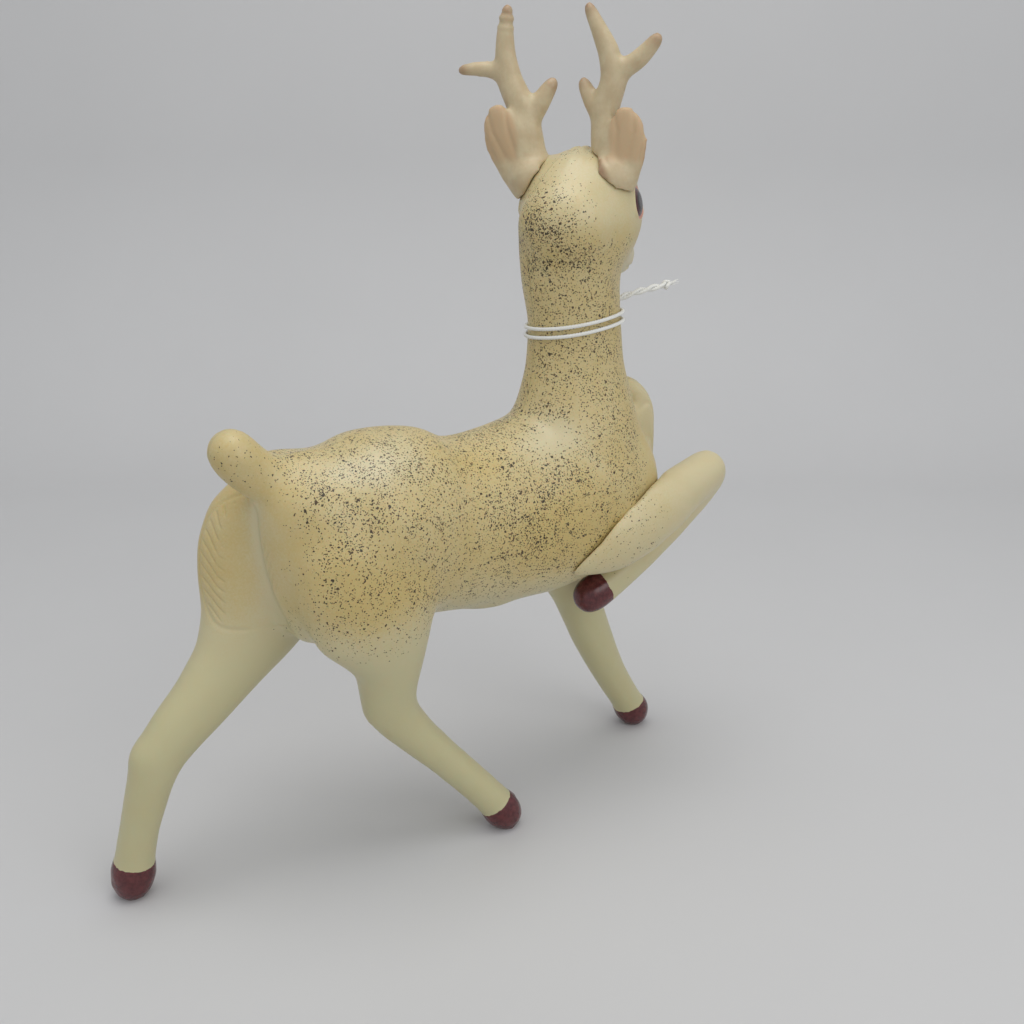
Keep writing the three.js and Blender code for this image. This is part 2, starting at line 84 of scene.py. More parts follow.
def on_head(left, forward, up):
    """A point of the head's own drawing, in millimetres of the deer's."""
    return HEAD_CENTRE + np.array([left, forward, up]) @ HEAD_AXES


# ---- object helpers ----
def deselect():
    if bpy.context.object and bpy.context.object.mode != "OBJECT":
        bpy.ops.object.mode_set(mode="OBJECT")
    bpy.ops.object.select_all(action="DESELECT")


def choose(*objects):
    """Only these objects are selected, and the first is active."""
    deselect()
    for item in objects:
        item.select_set(True)
    bpy.context.view_layer.objects.active = objects[0]


def edit(item, mode="VERT"):
    choose(item)
    bpy.ops.object.mode_set(mode="EDIT")
    bpy.ops.mesh.select_mode(type=mode)


def leave_edit():
    bpy.ops.object.mode_set(mode="OBJECT")


def finished_with(item, kind, **settings):
    """Adds a modifier and applies it."""
    choose(item)
    modifier = item.modifiers.new(kind.title(), kind)
    for name, value in settings.items():
        setattr(modifier, name, value)
    bpy.ops.object.modifier_apply(modifier=modifier.name)
    return item


def placed(item):
    """The object's turn, scale and place go into its mesh."""
    choose(item)
    bpy.ops.object.transform_apply(location=True, rotation=True, scale=True)
    return item


def linked(name, data):
    """A new object in the scene."""
    item = bpy.data.objects.new(name, data)
    bpy.context.scene.collection.objects.link(item)
    return item


def on_all(item, operator, **settings):
    """Runs a mesh operator on the whole of an object's mesh."""
    edit(item)
    bpy.ops.mesh.select_all(action="SELECT")
    operator(**settings)
    leave_edit()


def shaded(item, angle=None):
    """Smooth shading, but for edges sharper than the angle in degrees where one is given."""
    choose(item)
    if angle is None:
        bpy.ops.object.shade_smooth()
    else:
        bpy.ops.object.shade_smooth_by_angle(angle=math.radians(angle))


def joined(*items):
    choose(*items)
    bpy.ops.object.join()
    return items[0]


def copy_of_nodes(name, *nodes):
    """One object with merged copies of CAD nodes' meshes."""
    made = joined(*(linked(name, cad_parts[node].data.copy()) for node in nodes))
    made.data.materials.clear()
    on_all(made, bpy.ops.mesh.remove_doubles, threshold=2e-6)
    return made


def read(parts, key):
    """Three numbers for each vertex or face of a mesh."""
    flat = np.empty(len(parts) * 3, np.float32)
    parts.foreach_get(key, flat)
    return flat.reshape(-1, 3).astype(float)


def points_of(item):
    """The mesh's vertices in millimetres of the drawing."""
    return (read(item.data.vertices, "co") - np.array(ORIGIN)) / MM


def centres_of(item):
    """The middles of the mesh's faces in millimetres of the drawing."""
    return (read(item.data.polygons, "center") - np.array(ORIGIN)) / MM


def set_points(item, points):
    flat = (points * MM + np.array(ORIGIN)).astype(np.float32).ravel()
    item.data.vertices.foreach_set("co", flat)
    item.data.update()


def edges_of(item):
    flat = np.empty(len(item.data.edges) * 2, np.int32)
    item.data.edges.foreach_get("vertices", flat)
    return flat.reshape(-1, 2)


def step(low, high, values):
    """0 below low, 1 above high and smooth between."""
    share = np.clip((values - low) / (high - low), 0.0, 1.0)
    return share * share * (3.0 - 2.0 * share)


def between(values, low, high):
    return (values > low) & (values < high)


def ridge(values, middle, width, height=1.0):
    """A soft ridge, or a groove where height is negative, where values pass the middle."""
    return height * np.exp(-((values - middle) / width) ** 2)


# ---- sculpting ----
SOLE_LEVEL = 0.6                           # vertices below this stay on the ground, mm


def averaged(values, edges, times, weight=1.0):
    """Each vertex's values move half way to their neighbours' mean, that many times."""
    count = len(values)
    neighbours = np.bincount(edges[:, 0], minlength=count) + np.bincount(edges[:, 1], minlength=count)
    neighbours = np.maximum(neighbours, 1)[:, None]
    for _ in range(times):
        total = np.empty_like(values)
        for axis in range(values.shape[1]):
            column = values[:, axis]
            total[:, axis] = np.bincount(edges[:, 0], column[edges[:, 1]], count)
            total[:, axis] += np.bincount(edges[:, 1], column[edges[:, 0]], count)
        values = values + 0.5 * weight * (total / neighbours - values)
    return values


def remeshed(item, voxel, times, keep_sole=False):
    """Wraps a closed form in an even skin, takes out its facets and puts back what that shrank it by."""
    finished_with(item, "REMESH", mode="VOXEL", voxel_size=voxel)
    points = points_of(item)
    edges = edges_of(item)
    sole = points[:, 2] < SOLE_LEVEL
    relaxed = averaged(points, edges, times)
    relaxed += averaged(points - relaxed, edges, times)
    if keep_sole:
        relaxed[sole, 2] = points[sole, 2]
        relaxed[:, 2] = np.maximum(relaxed[:, 2], 0.0)
    set_points(item, relaxed)


def edit_faces(item, chosen):
    """Edit mode with only the faces that are true in the list selected."""
    edit(item, "FACE")
    bpy.ops.mesh.select_all(action="DESELECT")
    leave_edit()
    item.data.polygons.foreach_set("select", chosen)
    edit(item, "FACE")


def refined(item, wanted, cuts, relax):
    """Divides the faces where wanted(points) holds, and eases what is new."""
    edit_faces(item, wanted(centres_of(item)))
    bpy.ops.mesh.subdivide(number_cuts=cuts, smoothness=0.0, ngon=False)
    leave_edit()
    points = points_of(item)
    inside = wanted(points)[:, None].astype(float)
    set_points(item, averaged(points, edges_of(item), relax, inside))


def pushed(item, height):
    """Moves vertices along their normals by height(points, normals), in millimetres."""
    points = points_of(item)
    normals = read(item.data.vertex_normals, "vector")
    set_points(item, points + normals * height(points, normals)[:, None])


def cut_holes(item, holes):
    """Opens round holes in a closed skin, each as its centre, axis, radius and depth in millimetres."""
    cutters = []
    for centre, axis, radius, depth in holes:
        direction = Vector(axis).normalized()
        deselect()
        bpy.ops.mesh.primitive_cylinder_add(vertices=64, radius=radius * MM, depth=depth * MM,
                                            location=at(*centre) + direction * depth * MM / 2,
                                            rotation=direction.to_track_quat("Z", "Y").to_euler())
        cutters.append(placed(bpy.context.object))
    cutter = joined(*cutters)
    finished_with(item, "BOOLEAN", operation="DIFFERENCE", solver="MANIFOLD", object=cutter)
    bpy.data.objects.remove(cutter)
    centres = centres_of(item)
    pocket = np.zeros(len(centres), bool)
    for centre, axis, radius, depth in holes:
        direction = np.array(axis, float) / np.linalg.norm(axis)
        offsets = centres - np.array(centre)
        along = offsets @ direction
        across = np.linalg.norm(offsets - along[:, None] * direction, axis=1)
        pocket |= (across < radius + 0.01) & (along > -1) & (along < depth + 0.1)
    deleted(item, pocket)


def deleted(item, faces):
    """Deletes the faces that are true in the list."""
    edit_faces(item, faces)
    bpy.ops.mesh.delete(type="FACE")
    leave_edit()


def sliced(item, point, outward):
    """Cuts away what lies on the outward side of a plane and leaves the cut open."""
    on_all(item, bpy.ops.mesh.bisect, plane_co=at(*point), plane_no=outward, clear_outer=True, threshold=1e-7)


def kept_near(item, node, reach=5.0):
    """Deletes what lies more than reach millimetres outside a CAD node's box."""
    low, high = ((np.array(corner) - np.array(ORIGIN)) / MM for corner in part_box(node))
    centres = centres_of(item)
    deleted(item, ((centres < low - reach) | (centres > high + reach)).any(axis=1))
    on_all(item, bpy.ops.mesh.delete_loose)


INSIDE_SHARE = 0.62                        # faces kept where only the inside of the wall loses any


def walled(item, thickness):
    """Gives an open skin its plastic wall, inwards."""
    item.vertex_groups.new(name="inside")
    finished_with(item, "SOLIDIFY", thickness=thickness, offset=-1.0, use_rim=True,
                  shell_vertex_group="inside")
    finished_with(item, "DECIMATE", ratio=INSIDE_SHARE, vertex_group="inside", vertex_group_factor=1000.0)
    shaded(item, 50)


def ball(centre, radius):
    deselect()
    bpy.ops.mesh.primitive_uv_sphere_add(segments=24, ring_count=14, radius=radius * MM, location=at(*centre))
    return placed(bpy.context.object)


def drum(centre, radius, height):
    deselect()
    bpy.ops.mesh.primitive_cylinder_add(vertices=48, radius=radius * MM, depth=height * MM,
                                        location=at(*centre))
    return placed(bpy.context.object)


# ---- details of the form ----
def in_head(points):
    """Points of the deer's drawing as left, forward and up of the head."""
    return (points - HEAD_CENTRE) @ HEAD_AXES.T


EYE = np.array([26.0, 7.0, 10.5])          # left eye: left, forward and up of the head
EYE_SIZE = (8.5, 6.3)                      # half length and half height
HEAD_LEAN = -1.5                           # the head's middle lies this far left of its own zero


FAR = -20.0                                # a reach well outside an outline, mm
RUMP_FRONT = 66.0                          # the rump patch lies behind this, mm


def eye_reach(points):
    """Millimetres inside the outline of the nearer eye; negative outside."""
    left, forward, up = in_head(points).T
    along = (forward - EYE[1]) + 0.25 * (up - EYE[2])
    across = (up - EYE[2]) - 0.25 * (forward - EYE[1])
    length = np.where(along > 0, EYE_SIZE[0] * 1.1, EYE_SIZE[0])
    round_ness = np.sqrt((along / length) ** 2 + (across / EYE_SIZE[1]) ** 2)
    reach = (1.0 - round_ness) * EYE_SIZE[1]
    return np.where(np.abs(left - HEAD_LEAN) > 8.0, reach, FAR)


def patch_reach(points):
    """Millimetres inside the engraved outline of the rump patch; negative outside."""
    x, y, z = points.T
    share = (np.abs(x) / 25.0) ** 3 + np.abs((z - 153.0) / 31.0) ** 3
    return np.where(y > RUMP_FRONT, (1.0 - np.cbrt(share)) * 25.0, FAR)


def rump_height(points, normals):
    """The patch under the tail: its outline, its combed hair and the cleft down the middle."""
    x, y, z = points.T
    reach = patch_reach(points)
    rear = step(0.05, 0.4, normals[:, 1])
    left = step(-6.0, 2.0, x)
    outline = ridge(reach, 0, 0.8, -0.55) * (0.15 + 0.85 * left)
    comb = (z - 1.1 * np.abs(x)) / 5.4 + 0.12 * np.sin(np.abs(x) * 0.6)
    valley = ridge(comb % 1.0, 0.5, 0.13)
    ends = step(0.8, 2.5, reach) * step(11.5, 15.0, x + 1.8 * np.sin(z * 1.3))
    ends = ends * (1 - 0.6 * step(10.0, 14.0, reach))
    short = step(1.5, 3.0, -x) * (1 - step(6.5, 10.0, -x)) * step(138, 148, z) * (1 - step(162, 172, z))
    hair = -0.55 * valley * np.maximum(ends, 0.7 * short)
    cleft = ridge(x, 0, 2.6, -1.3) * step(118, 130, z) * (1 - step(176, 186, z))
    return rear * (outline + hair + cleft) * (y > RUMP_FRONT)


def face_height(points, normals):
    """Eyes with their lids, brows, cheeks, nostrils and mouth."""
    left, forward, up = in_head(points).T
    side = np.abs(left - HEAD_LEAN)
    reach = eye_reach(points)
    eye = 0.7 * step(-0.2, 3.5, reach) - ridge(reach, -0.2, 0.55, 0.55)
    lid = ridge(reach, -1.8, 0.9, 0.8) * step(2.0, 6.0, up)
    brow = np.exp(-((forward - EYE[1] - 1) / 8.0) ** 2 - ((up - EYE[2] - 10.5) / 3.0) ** 2)
    brow = brow * step(8, 14, side)
    nostril_far = ((forward - 68.0) / 1.6) ** 2 + ((up + 15.5) / 1.3) ** 2
    nostril = -1.1 * np.exp(-nostril_far) * step(3.0, 5.0, side)
    line = up + 24.0 + 0.05 * (forward - 50.0)
    mouth = ridge(line, 0, 0.6, -0.75) * step(46.0, 51.0, forward)
    nose = 0.9 * np.exp(-((forward - 71.0) / 5.0) ** 2 - ((up + 15.0) / 5.0) ** 2)
    tuft = np.exp(-((left - HEAD_LEAN) / 8.0) ** 2 - ((forward - 4.0) / 13.0) ** 2) * step(20.0, 27.0, up)
    lock = np.abs(np.sin(left * 0.62 + 0.7 * np.sin(forward * 0.35)))
    locks = 0.6 + 0.9 * lock * np.abs(np.cos(forward * 0.21))
    return eye + lid + brow + nostril + mouth + nose + 1.5 * tuft * locks


def bib_height(points, normals):
    """Combed hair down the front of the chest."""
    x, y, z = points.T
    place = step(-113.0, -119.0, y) * step(150.0, 160.0, z) * (1 - step(206.0, 212.0, z))
    return ridge(((x * 1.1 + 0.12 * z) / 3.0) % 1.0, 0.5, 0.17, -0.5) * place


# Each standing hoof as the point under its sole, and the direction up its leg.
HOOVES = {
    "left_hind_leg": ((24.5, 150.0, 0.0), (-0.12, -0.16, 0.98)),
    "right_hind_leg": ((-27.0, -23.0, 0.0), (0.20, 0.52, 0.83)),
    "left_foreleg": ((17.0, -139.0, 0.0), (-0.02, 0.34, 0.94)),
}
RAISED_HOOF = ((-10.6, -69.0, 98.5), (-0.08, -0.92, 0.38))
HOOF_HEIGHTS = {"left_hind_leg": 18.0, "right_hind_leg": 17.0, "left_foreleg": 15.5}
RAISED_HOOF_HEIGHT = 21.0


def along_leg(points, foot, axis):
    """How far up a leg points are, and how far round it from its front, in millimetres."""
    offset = points - np.array(foot)
    direction = np.array(axis) / np.linalg.norm(axis)
    return offset @ direction, offset[:, 0]


def hoof_reach(points):
    """Millimetres below the nearest hoof's paint line; negative above it."""
    reach = np.full(len(points), -30.0)
    for name, (foot, axis) in HOOVES.items():
        near = np.linalg.norm((points - np.array(foot))[:, :2], axis=1) < 32.0
        up, _ = along_leg(points, foot, axis)
        reach = np.where(near & (points[:, 2] < 40), np.maximum(reach, HOOF_HEIGHTS[name] - up), reach)
    return reach


def hoof_height(points, normals):
    """A lip of paint, the hoof's flare and the cleft at its front."""
    reach = hoof_reach(points)
    lip = 0.22 * step(-0.3, 0.5, reach)
    flare = ridge(reach, 5.0, 4.0, 0.5)
    cleft = np.zeros(len(points))
    for foot, axis in HOOVES.values():
        up, across = along_leg(points, foot, axis)
        near = np.linalg.norm((points - np.array(foot))[:, :2], axis=1) < 24.0
        front = step(0.2, 0.6, -normals[:, 1])
        cleft -= near * front * 1.1 * ridge(across, 0, 0.9) * (reach > -2) * (1 - step(11, 15, up))
    return (reach > -25) * (lip + flare) + cleft


# Middle, radius and height of the soft swellings and hollows of the body.
BUMPS = (
    ((19, 147, 74), 8, 1.3), ((-16, 51, 76), 8, 1.1), ((30, 98, 158), 22, 1.8),
    ((22, 132, 60), 9, -0.5), ((-18, -91, 262), 13, -3.2), ((-20, -95, 293), 16, -0.8),
)


def bumps_height(points, normals):
    """Hocks, the buttocks' fullness and the hollows of the flank, throat and cheek."""
    return sum(height * np.exp(-(np.linalg.norm(points - np.array(place), axis=1) / radius) ** 2)
               for place, radius, height in BUMPS)


HEAD_LEVEL = 252.0                         # everything of the head lies above this, mm


def rump_part(points):
    x, y, z = points.T
    return (y > 74) & between(z, 118, 186) & between(x, -12, 28)


def muzzle_part(points):
    return (in_head(points)[:, 1] > 50) & (points[:, 2] > HEAD_LEVEL)


def eye_part(points):
    return (eye_reach(points) > -4) & (in_head(points)[:, 1] > -5) & (points[:, 2] > HEAD_LEVEL)


def tuft_part(points):
    left, forward, up = in_head(points).T
    return (np.hypot(left + 1, forward) < 16) & (up > 22)


def bib_part(points):
    return (points[:, 1] < -112) & between(points[:, 2], 148, 214)


def foot_part(points):
    return points[:, 2] < 24


def sculpted(skin):
    """Divides the skin where it needs fine forms and pushes them in."""
    pushed(skin, bumps_height)
    refined(skin, rump_part, 2, 6)
    pushed(skin, rump_height)
    refined(skin, muzzle_part, 1, 4)
    refined(skin, eye_part, 2, 4)
    refined(skin, tuft_part, 1, 3)
    pushed(skin, face_height)
    refined(skin, bib_part, 1, 4)
    pushed(skin, bib_height)
    refined(skin, foot_part, 1, 3)
    pushed(skin, hoof_height)


# ---- where the paint lies ----
def near_to(points, place, radius):
    return np.exp(-(np.linalg.norm((points - np.array(place)) / np.array(radius), axis=1)) ** 2)


# Clouds of flecks and of spray on both flanks, each as its strength, middle and radii. The negative clouds on
# the shoulder and on the back near the rump are a painted highlight: fewer flecks and less spray where the
# light falls, so the cream shows paler.
FLECK_AND_HIGHLIGHT_CLOUDS = (
    (0.30, (-22, 45, 192), (18, 26, 16)), (0.18, (-34, 66, 176), (14, 14, 14)),
    # Painted highlight: the negative clouds at (-20, -47, 194) and (-28, 46, 196) thin the flecks where the
    # light falls on the shoulder and the back.
    (0.35, (-4, -30, 200), (10, 24, 9)), (-0.42, (-20, -47, 194), (9, 12, 9)),
    (-0.22, (-28, 46, 196), (9, 14, 9)), (-0.20, (-38, 8, 160), (12, 13, 30)),
)
SPRAY_AND_HIGHLIGHT_CLOUDS = (
    (0.45, (-36, -44, 150), (16, 34, 20)), (0.35, (-38, 52, 146), (14, 26, 20)),
    # Painted highlight: the two negative clouds take the spray off where the light falls on the shoulder and
    # the back near the rump.
    (-0.60, (-20, -47, 194), (12, 15, 11)), (-0.45, (-24, 42, 198), (14, 22, 10)),
)


def clouded(points, clouds):
    return sum(strength * near_to(points, place, radii) for strength, place, radii in clouds)


def mirrored(points):
    """The points of the left half on the right half."""
    return points - np.maximum(points, 0) * (2, 0, 0)


def fleck_and_highlight_density(points):
    """How thickly the dark flecks lie, from 0 to 1, thinned by a painted highlight on the shoulder and the
    back near the rump.
    """
    x, y, z = points.T
    flank = mirrored(points)
    trunk = 0.38 * step(110.0, 140.0, z) * (1 - step(72.0, 88.0, y)) * step(-104.0, -92.0, y)
    trunk *= 1 - step(214.0, 222.0, z) * (y < -30)
    trunk += 0.42 * near_to(flank, (-33, -26, 165), (12, 26, 22)) * (z < 215)
    # The negative clouds here are a painted highlight, fewer flecks where the light falls.
    trunk += clouded(flank, FLECK_AND_HIGHLIGHT_CLOUDS)
    trunk = np.clip(trunk, 0, 1) * (1 - step(70.0, 86.0, y) * (1 - step(180.0, 196.0, z)))
    neck = 0.42 * step(206.0, 222.0, z) * (1 - step(276.0, 286.0, z)) * step(-99.0, -88.0, y) * (y < -20)
    neck += clouded(points, ((0.22, (-14, -62, 224), (16, 16, 14)), (-0.16, (6, -52, 236), (8, 12, 20))))
    head = clouded(points, ((1.1, (-10, -47, 285), (19, 14, 17)), (0.30, (-2, -52, 322), (12, 30, 7))))
    tail = 0.09 * step(76.0, 84.0, y) * step(186.0, 194.0, z) * step(-1.0, 6.0, -x)
    return np.clip(np.maximum.reduce([trunk, np.clip(neck, 0, 1) + head, tail]), 0.0, 1.0)


def spray_and_highlight_cover(points):
    """How much of the beige spray lies on the cream plastic, from 0 to 1, less where painted highlights lie
    on the shoulder, the back near the rump and the top of the head.
    """
    x, y, z = points.T
    body = 0.62 * step(104.0, 150.0, z) * step(-128.0, -100.0, y) + clouded(mirrored(points), SPRAY_AND_HIGHLIGHT_CLOUDS)
    body -= 0.55 * step(66.0, 80.0, y) * (1 - step(182.0, 192.0, z)) * ridge(x, 0, 5.0)
    # Painted highlight: less spray on the top of the head, where the light falls, but for the back of the
    # head.
    body -= 0.35 * step(280.0, 296.0, z) * (1 - near_to(points, (-4, -46, 288), (22, 20, 22)))
    return np.clip(body, 0.0, 1.0)


def set_measure(item, name, values):
    """Keeps a number for each vertex, which the plastic's colours are mixed by."""
    layer = item.data.attributes.new(name, "FLOAT", "POINT")
    layer.data.foreach_set("value", values.astype(np.float32))


def painted(item, hooves=hoof_reach, eyes=eye_reach, cover=1.0):
    points = points_of(item)
    # The flecks and spray measures also carry the painted highlights on the shoulder, the back and the top of
    # the head.
    set_measure(item, "flecks", fleck_and_highlight_density(points) * cover)
    set_measure(item, "spray", spray_and_highlight_cover(points) * (0.3 + 0.7 * cover))
    set_measure(item, "hoof", hooves(points))
    set_measure(item, "eye", eyes(points))
    left, forward, up = in_head(points).T
    nose = 7.0 - np.sqrt((forward - 73.0) ** 2 + ((up + 13.5) * 1.1) ** 2 + (0.7 * (left - HEAD_LEAN)) ** 2)
    set_measure(item, "nose", nose)


# ---- the deer's mouldings ----
BELLY_HOLE = ((0.0, -LAMP_AHEAD, 104.0), (0, 0, 1), 14.2, 22.0)
SHOULDER_HOLE = ((-42.0, -88.0, 146.0), (1, 0, 0), 7.3, 22.0)
PEGS = {"left": ((18.5, 0.0, 30.0), (12.0, 1.0, 8.0)), "right": ((-14.0, 0.0, 30.0), (-9.0, 1.0, 8.0))}
PEG_HOLE = 3.5
# The middle lines of each antler's beam and tines on the head, with their radii.
BEAMS = {
    "left": (
        ((20, -2, 18, 8), (22.5, -3, 34, 7), (25.5, -3, 48, 7), (33, -4, 65, 5.8), (34, -5, 79, 4.4),
         (32.5, -6, 91, 3)),
        ((34, -4, 65, 4.8), (43, -4, 67.5, 3.8), (54, -5, 67, 2.7)),
        ((25, -3, 42, 5.4), (18.5, -2, 53, 4.8), (13.2, -1, 61, 3.2)),
    ),
    "right": (
        ((-14, -2, 18, 8), (-13, -3, 34, 7), (-11.5, -3, 48, 6.6), (-16, -4, 65, 6), (-10, -5, 80, 4.2),
         (-4.5, -6, 91, 2.8)),
        ((-16, -4, 64, 4.8), (-27, -4, 71, 4.4), (-34, -5, 78, 3.2)),
        ((-12, -3, 44, 5), (-6, -2, 53, 4.2), (-1.5, -1, 61, 3)),
    ),
}
EARS = {"left": ((23, -4, 14), (29, -6, 29), (34.5, -9, 42), (36.5, -10, 50.5)),
        "right": ((-17, -5, 14), (-21, -7, 28), (-23, -9, 41), (-22, -10, 49.5))}


def whole_skin(settings):
    """The body, neck, head and standing legs as one skin, with its holes."""
    pegs = [0.9 * np.array(outer) + 0.1 * np.array(inner) for outer, inner in PEGS.values()]
    plugs = [
        drum((0, -LAMP_AHEAD, 114.5), 15.5, 4.0),
        ball((-34, -88, 146), 8.2),
        *(ball(on_head(*peg), 4.6) for peg in pegs),
        ball((2, -111, 189), 8.0),
    ]
    skin = copy_of_nodes("deer_skin", *SHELLS, *STANDING_LEGS)
    skin = joined(skin, *plugs)
    remeshed(skin, settings.voxel, settings.smoothing, keep_sole=True)
    holes = [BELLY_HOLE, SHOULDER_HOLE]
    for outer, inner in PEGS.values():
        start, end = on_head(*(np.array(outer) * 1.25)), on_head(*inner)
        holes.append((tuple(start), tuple(end - start), PEG_HOLE, float(np.linalg.norm(end - start))))
    cut_holes(skin, holes)
    sculpted(skin)
    return skin


def finish_piece(item, body, node, material):
    """Gives a piece its material and ties it to the frame."""
    item.data.materials.clear()
    item.data.materials.append(material)
    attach(item, body)
    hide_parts(node)


def build_moulding(skin, node, slot, settings, colours, *cuts):
    """One hollow moulding, cut from the deer's skin on the outward sides of planes."""
    piece = linked(node + "_moulding", skin.data.copy())
    for point, outward in cuts:
        sliced(piece, point, outward)
    if node in STANDING_LEGS:
        kept_near(piece, node)
    walled(piece, settings.wall)
    painted(piece)
    finish_piece(piece, "deer", node, body_plastic(colours))


def build_shells(settings, colours):
    skin = whole_skin(settings)
    joint = (0, 0, LEG_JOINT)
    for node, side in zip(SHELLS, (-1, 1)):
        seam = ((side * SEAM, 0, 0), (-side, 0, 0))
        build_moulding(skin, node, "sprayed_plastic", settings, colours, seam, (joint, (0, 0, -1)))
    for node in STANDING_LEGS:
        build_moulding(skin, node, "cream_plastic", settings, colours, (joint, (0, 0, 1)))
    bpy.data.objects.remove(skin)


def raised_hoof_reach(points):
    foot, axis = RAISED_HOOF
    up, _ = along_leg(points, foot, axis)
    near = np.linalg.norm(points - np.array(foot), axis=1) < 30
    return np.where(near & (points[:, 2] < 122), RAISED_HOOF_HEIGHT - up, FAR)


def build_raised_foreleg(settings, colours):
    leg = copy_of_nodes("right_foreleg_moulding", "right_foreleg")
    leg = joined(leg, ball((-34, -88, 146), 6.6))
    remeshed(leg, settings.voxel, settings.smoothing)
    refined(leg, lambda points: points[:, 2] > 60, 1, 8)
    painted(leg, hooves=raised_hoof_reach, eyes=lambda points: np.full(len(points), FAR), cover=0.25)
    shaded(leg)
    finish_piece(leg, "deer", "right_foreleg", body_plastic(colours))


def nearest_line(points, stations):
    """Distance to a line of stations, less its radius there, and how far along it that is."""
    best = np.full(len(points), 1e6)
    along = np.zeros(len(points))
    for number, (start, end) in enumerate(zip(stations, stations[1:])):
        a, b = np.array(start[:3], float), np.array(end[:3], float)
        share = np.clip((points - a) @ (b - a) / ((b - a) @ (b - a)), 0, 1)
        reach = np.linalg.norm(points - a - share[:, None] * (b - a), axis=1)
        if len(start) > 3:
            reach = reach - (start[3] + share * (end[3] - start[3]))
        closer = reach < best
        best = np.where(closer, reach, best)
        along = np.where(closer, number + share, along)
    return best, along


def build_antlers(settings, colours):
    material = antler_plastic(colours)
    for side in ("left", "right"):
        node = side + "_antler_and_ear"
        antler = copy_of_nodes(node + "_moulding", node)
        remeshed(antler, settings.fine_voxel, settings.smoothing)
        ringed = side == "left"

        def folds(points, normals):
            """Folds and rim of the ear, rings up the left beam and a fuller beam above the ear."""
            head = in_head(points)
            level = head[:, 2]
            beam, run = nearest_line(head, BEAMS[side][0])
            reach = nearest_line(head, EARS[side])[0]
            on_ear = step(0.0, 2.5, beam) * step(24, 30, level) * (level < 56)
            line = ridge(reach, 4.5, 0.8, -0.5) - ridge(reach, 8.2, 0.6, 0.35)
            rim = ridge(reach, 10.3, 0.9, 0.3)
            rings = 0.28 * np.sin(run * 2 * math.pi * 3.0) * step(4.2, 4.5, run) * ringed
            web = ridge(level, 60, 10, 0.35) * (beam > -3)
            return on_ear * (line + rim) + rings + web * 0.5

        pushed(antler, folds)
        head = in_head(points_of(antler))
        beams = np.min([nearest_line(head, line)[0] for line in BEAMS[side]], axis=0)
        set_measure(antler, "ear", step(0.6, 2.2, beams) * step(26.0, 31.0, head[:, 2]))
        ends = [near_to(head, line[-1][:3], (3.5, 3.5, 3.5)) for line in BEAMS[side]]
        ear_edge = step(9.0, 10.5, nearest_line(head, EARS[side])[0]) * (beams > 1.5)
        tips = np.max(ends, axis=0) * 0.9 + 0.8 * ear_edge * (side == "right")
        set_measure(antler, "tip", np.clip(tips, 0, 1))
        shaded(antler)
        finish_piece(antler, side + "_antler", node, material)


# ---- the lamp ----
FLANGE_Z = 114.2
HOLDER_Z = 116.6
HOLDER_TOP = 138.6
BORE_Z = 120.6
CAP_Z = 124.6
CAP_TOP = 138.6
GLASS_Z = 137.0
THREAD_PITCH = 2.4


def turned(name, profile, steps=72):
    """A profile of (radius, height) in millimetres, turned round the lamp's axis."""
    mesh = bpy.data.meshes.new(name)
    links = [(k, k + 1) for k in range(len(profile) - 1)]
    mesh.from_pydata([(radius * MM, 0, height * MM) for radius, height in profile], links, [])
    item = linked(name, mesh)
    finished_with(item, "SCREW", angle=2 * math.pi, steps=steps, render_steps=steps, axis="Z",
                  use_merge_vertices=True, merge_threshold=1e-6)
    item.location = at(0, -LAMP_AHEAD, 0)
    placed(item)
    on_all(item, bpy.ops.mesh.remove_doubles, threshold=1e-6)
    on_all(item, bpy.ops.mesh.normals_make_consistent, inside=False)
    shaded(item, 35)
    return item


def tube_profile(inner, outer, low, high, rise=0.4):
    """A closed profile with points close enough together to take a thread."""
    levels = list(np.linspace(low, high, int((high - low) / rise) + 1))
    up = [(outer, level) for level in levels]
    down = [(inner, level) for level in reversed(levels)]
    return [*up, *down, up[0]]


def threaded(item, low, high, depth):
    """Rolls a round thread into a sleeve about the lamp's axis."""
    points = points_of(item)
    offset = points[:, :2] - np.array((0.0, -LAMP_AHEAD))
    radius = np.linalg.norm(offset, axis=1)
    turn = points[:, 2] / THREAD_PITCH - np.arctan2(offset[:, 1], offset[:, 0]) / (2 * math.pi)
    ends = step(low, low + 1.0, points[:, 2]) * (1 - step(high - 1.0, high, points[:, 2]))
    wave = depth * 0.5 * np.cos(2 * math.pi * turn) * ends
    points[:, :2] += offset / radius[:, None] * wave[:, None]
    set_points(item, points)


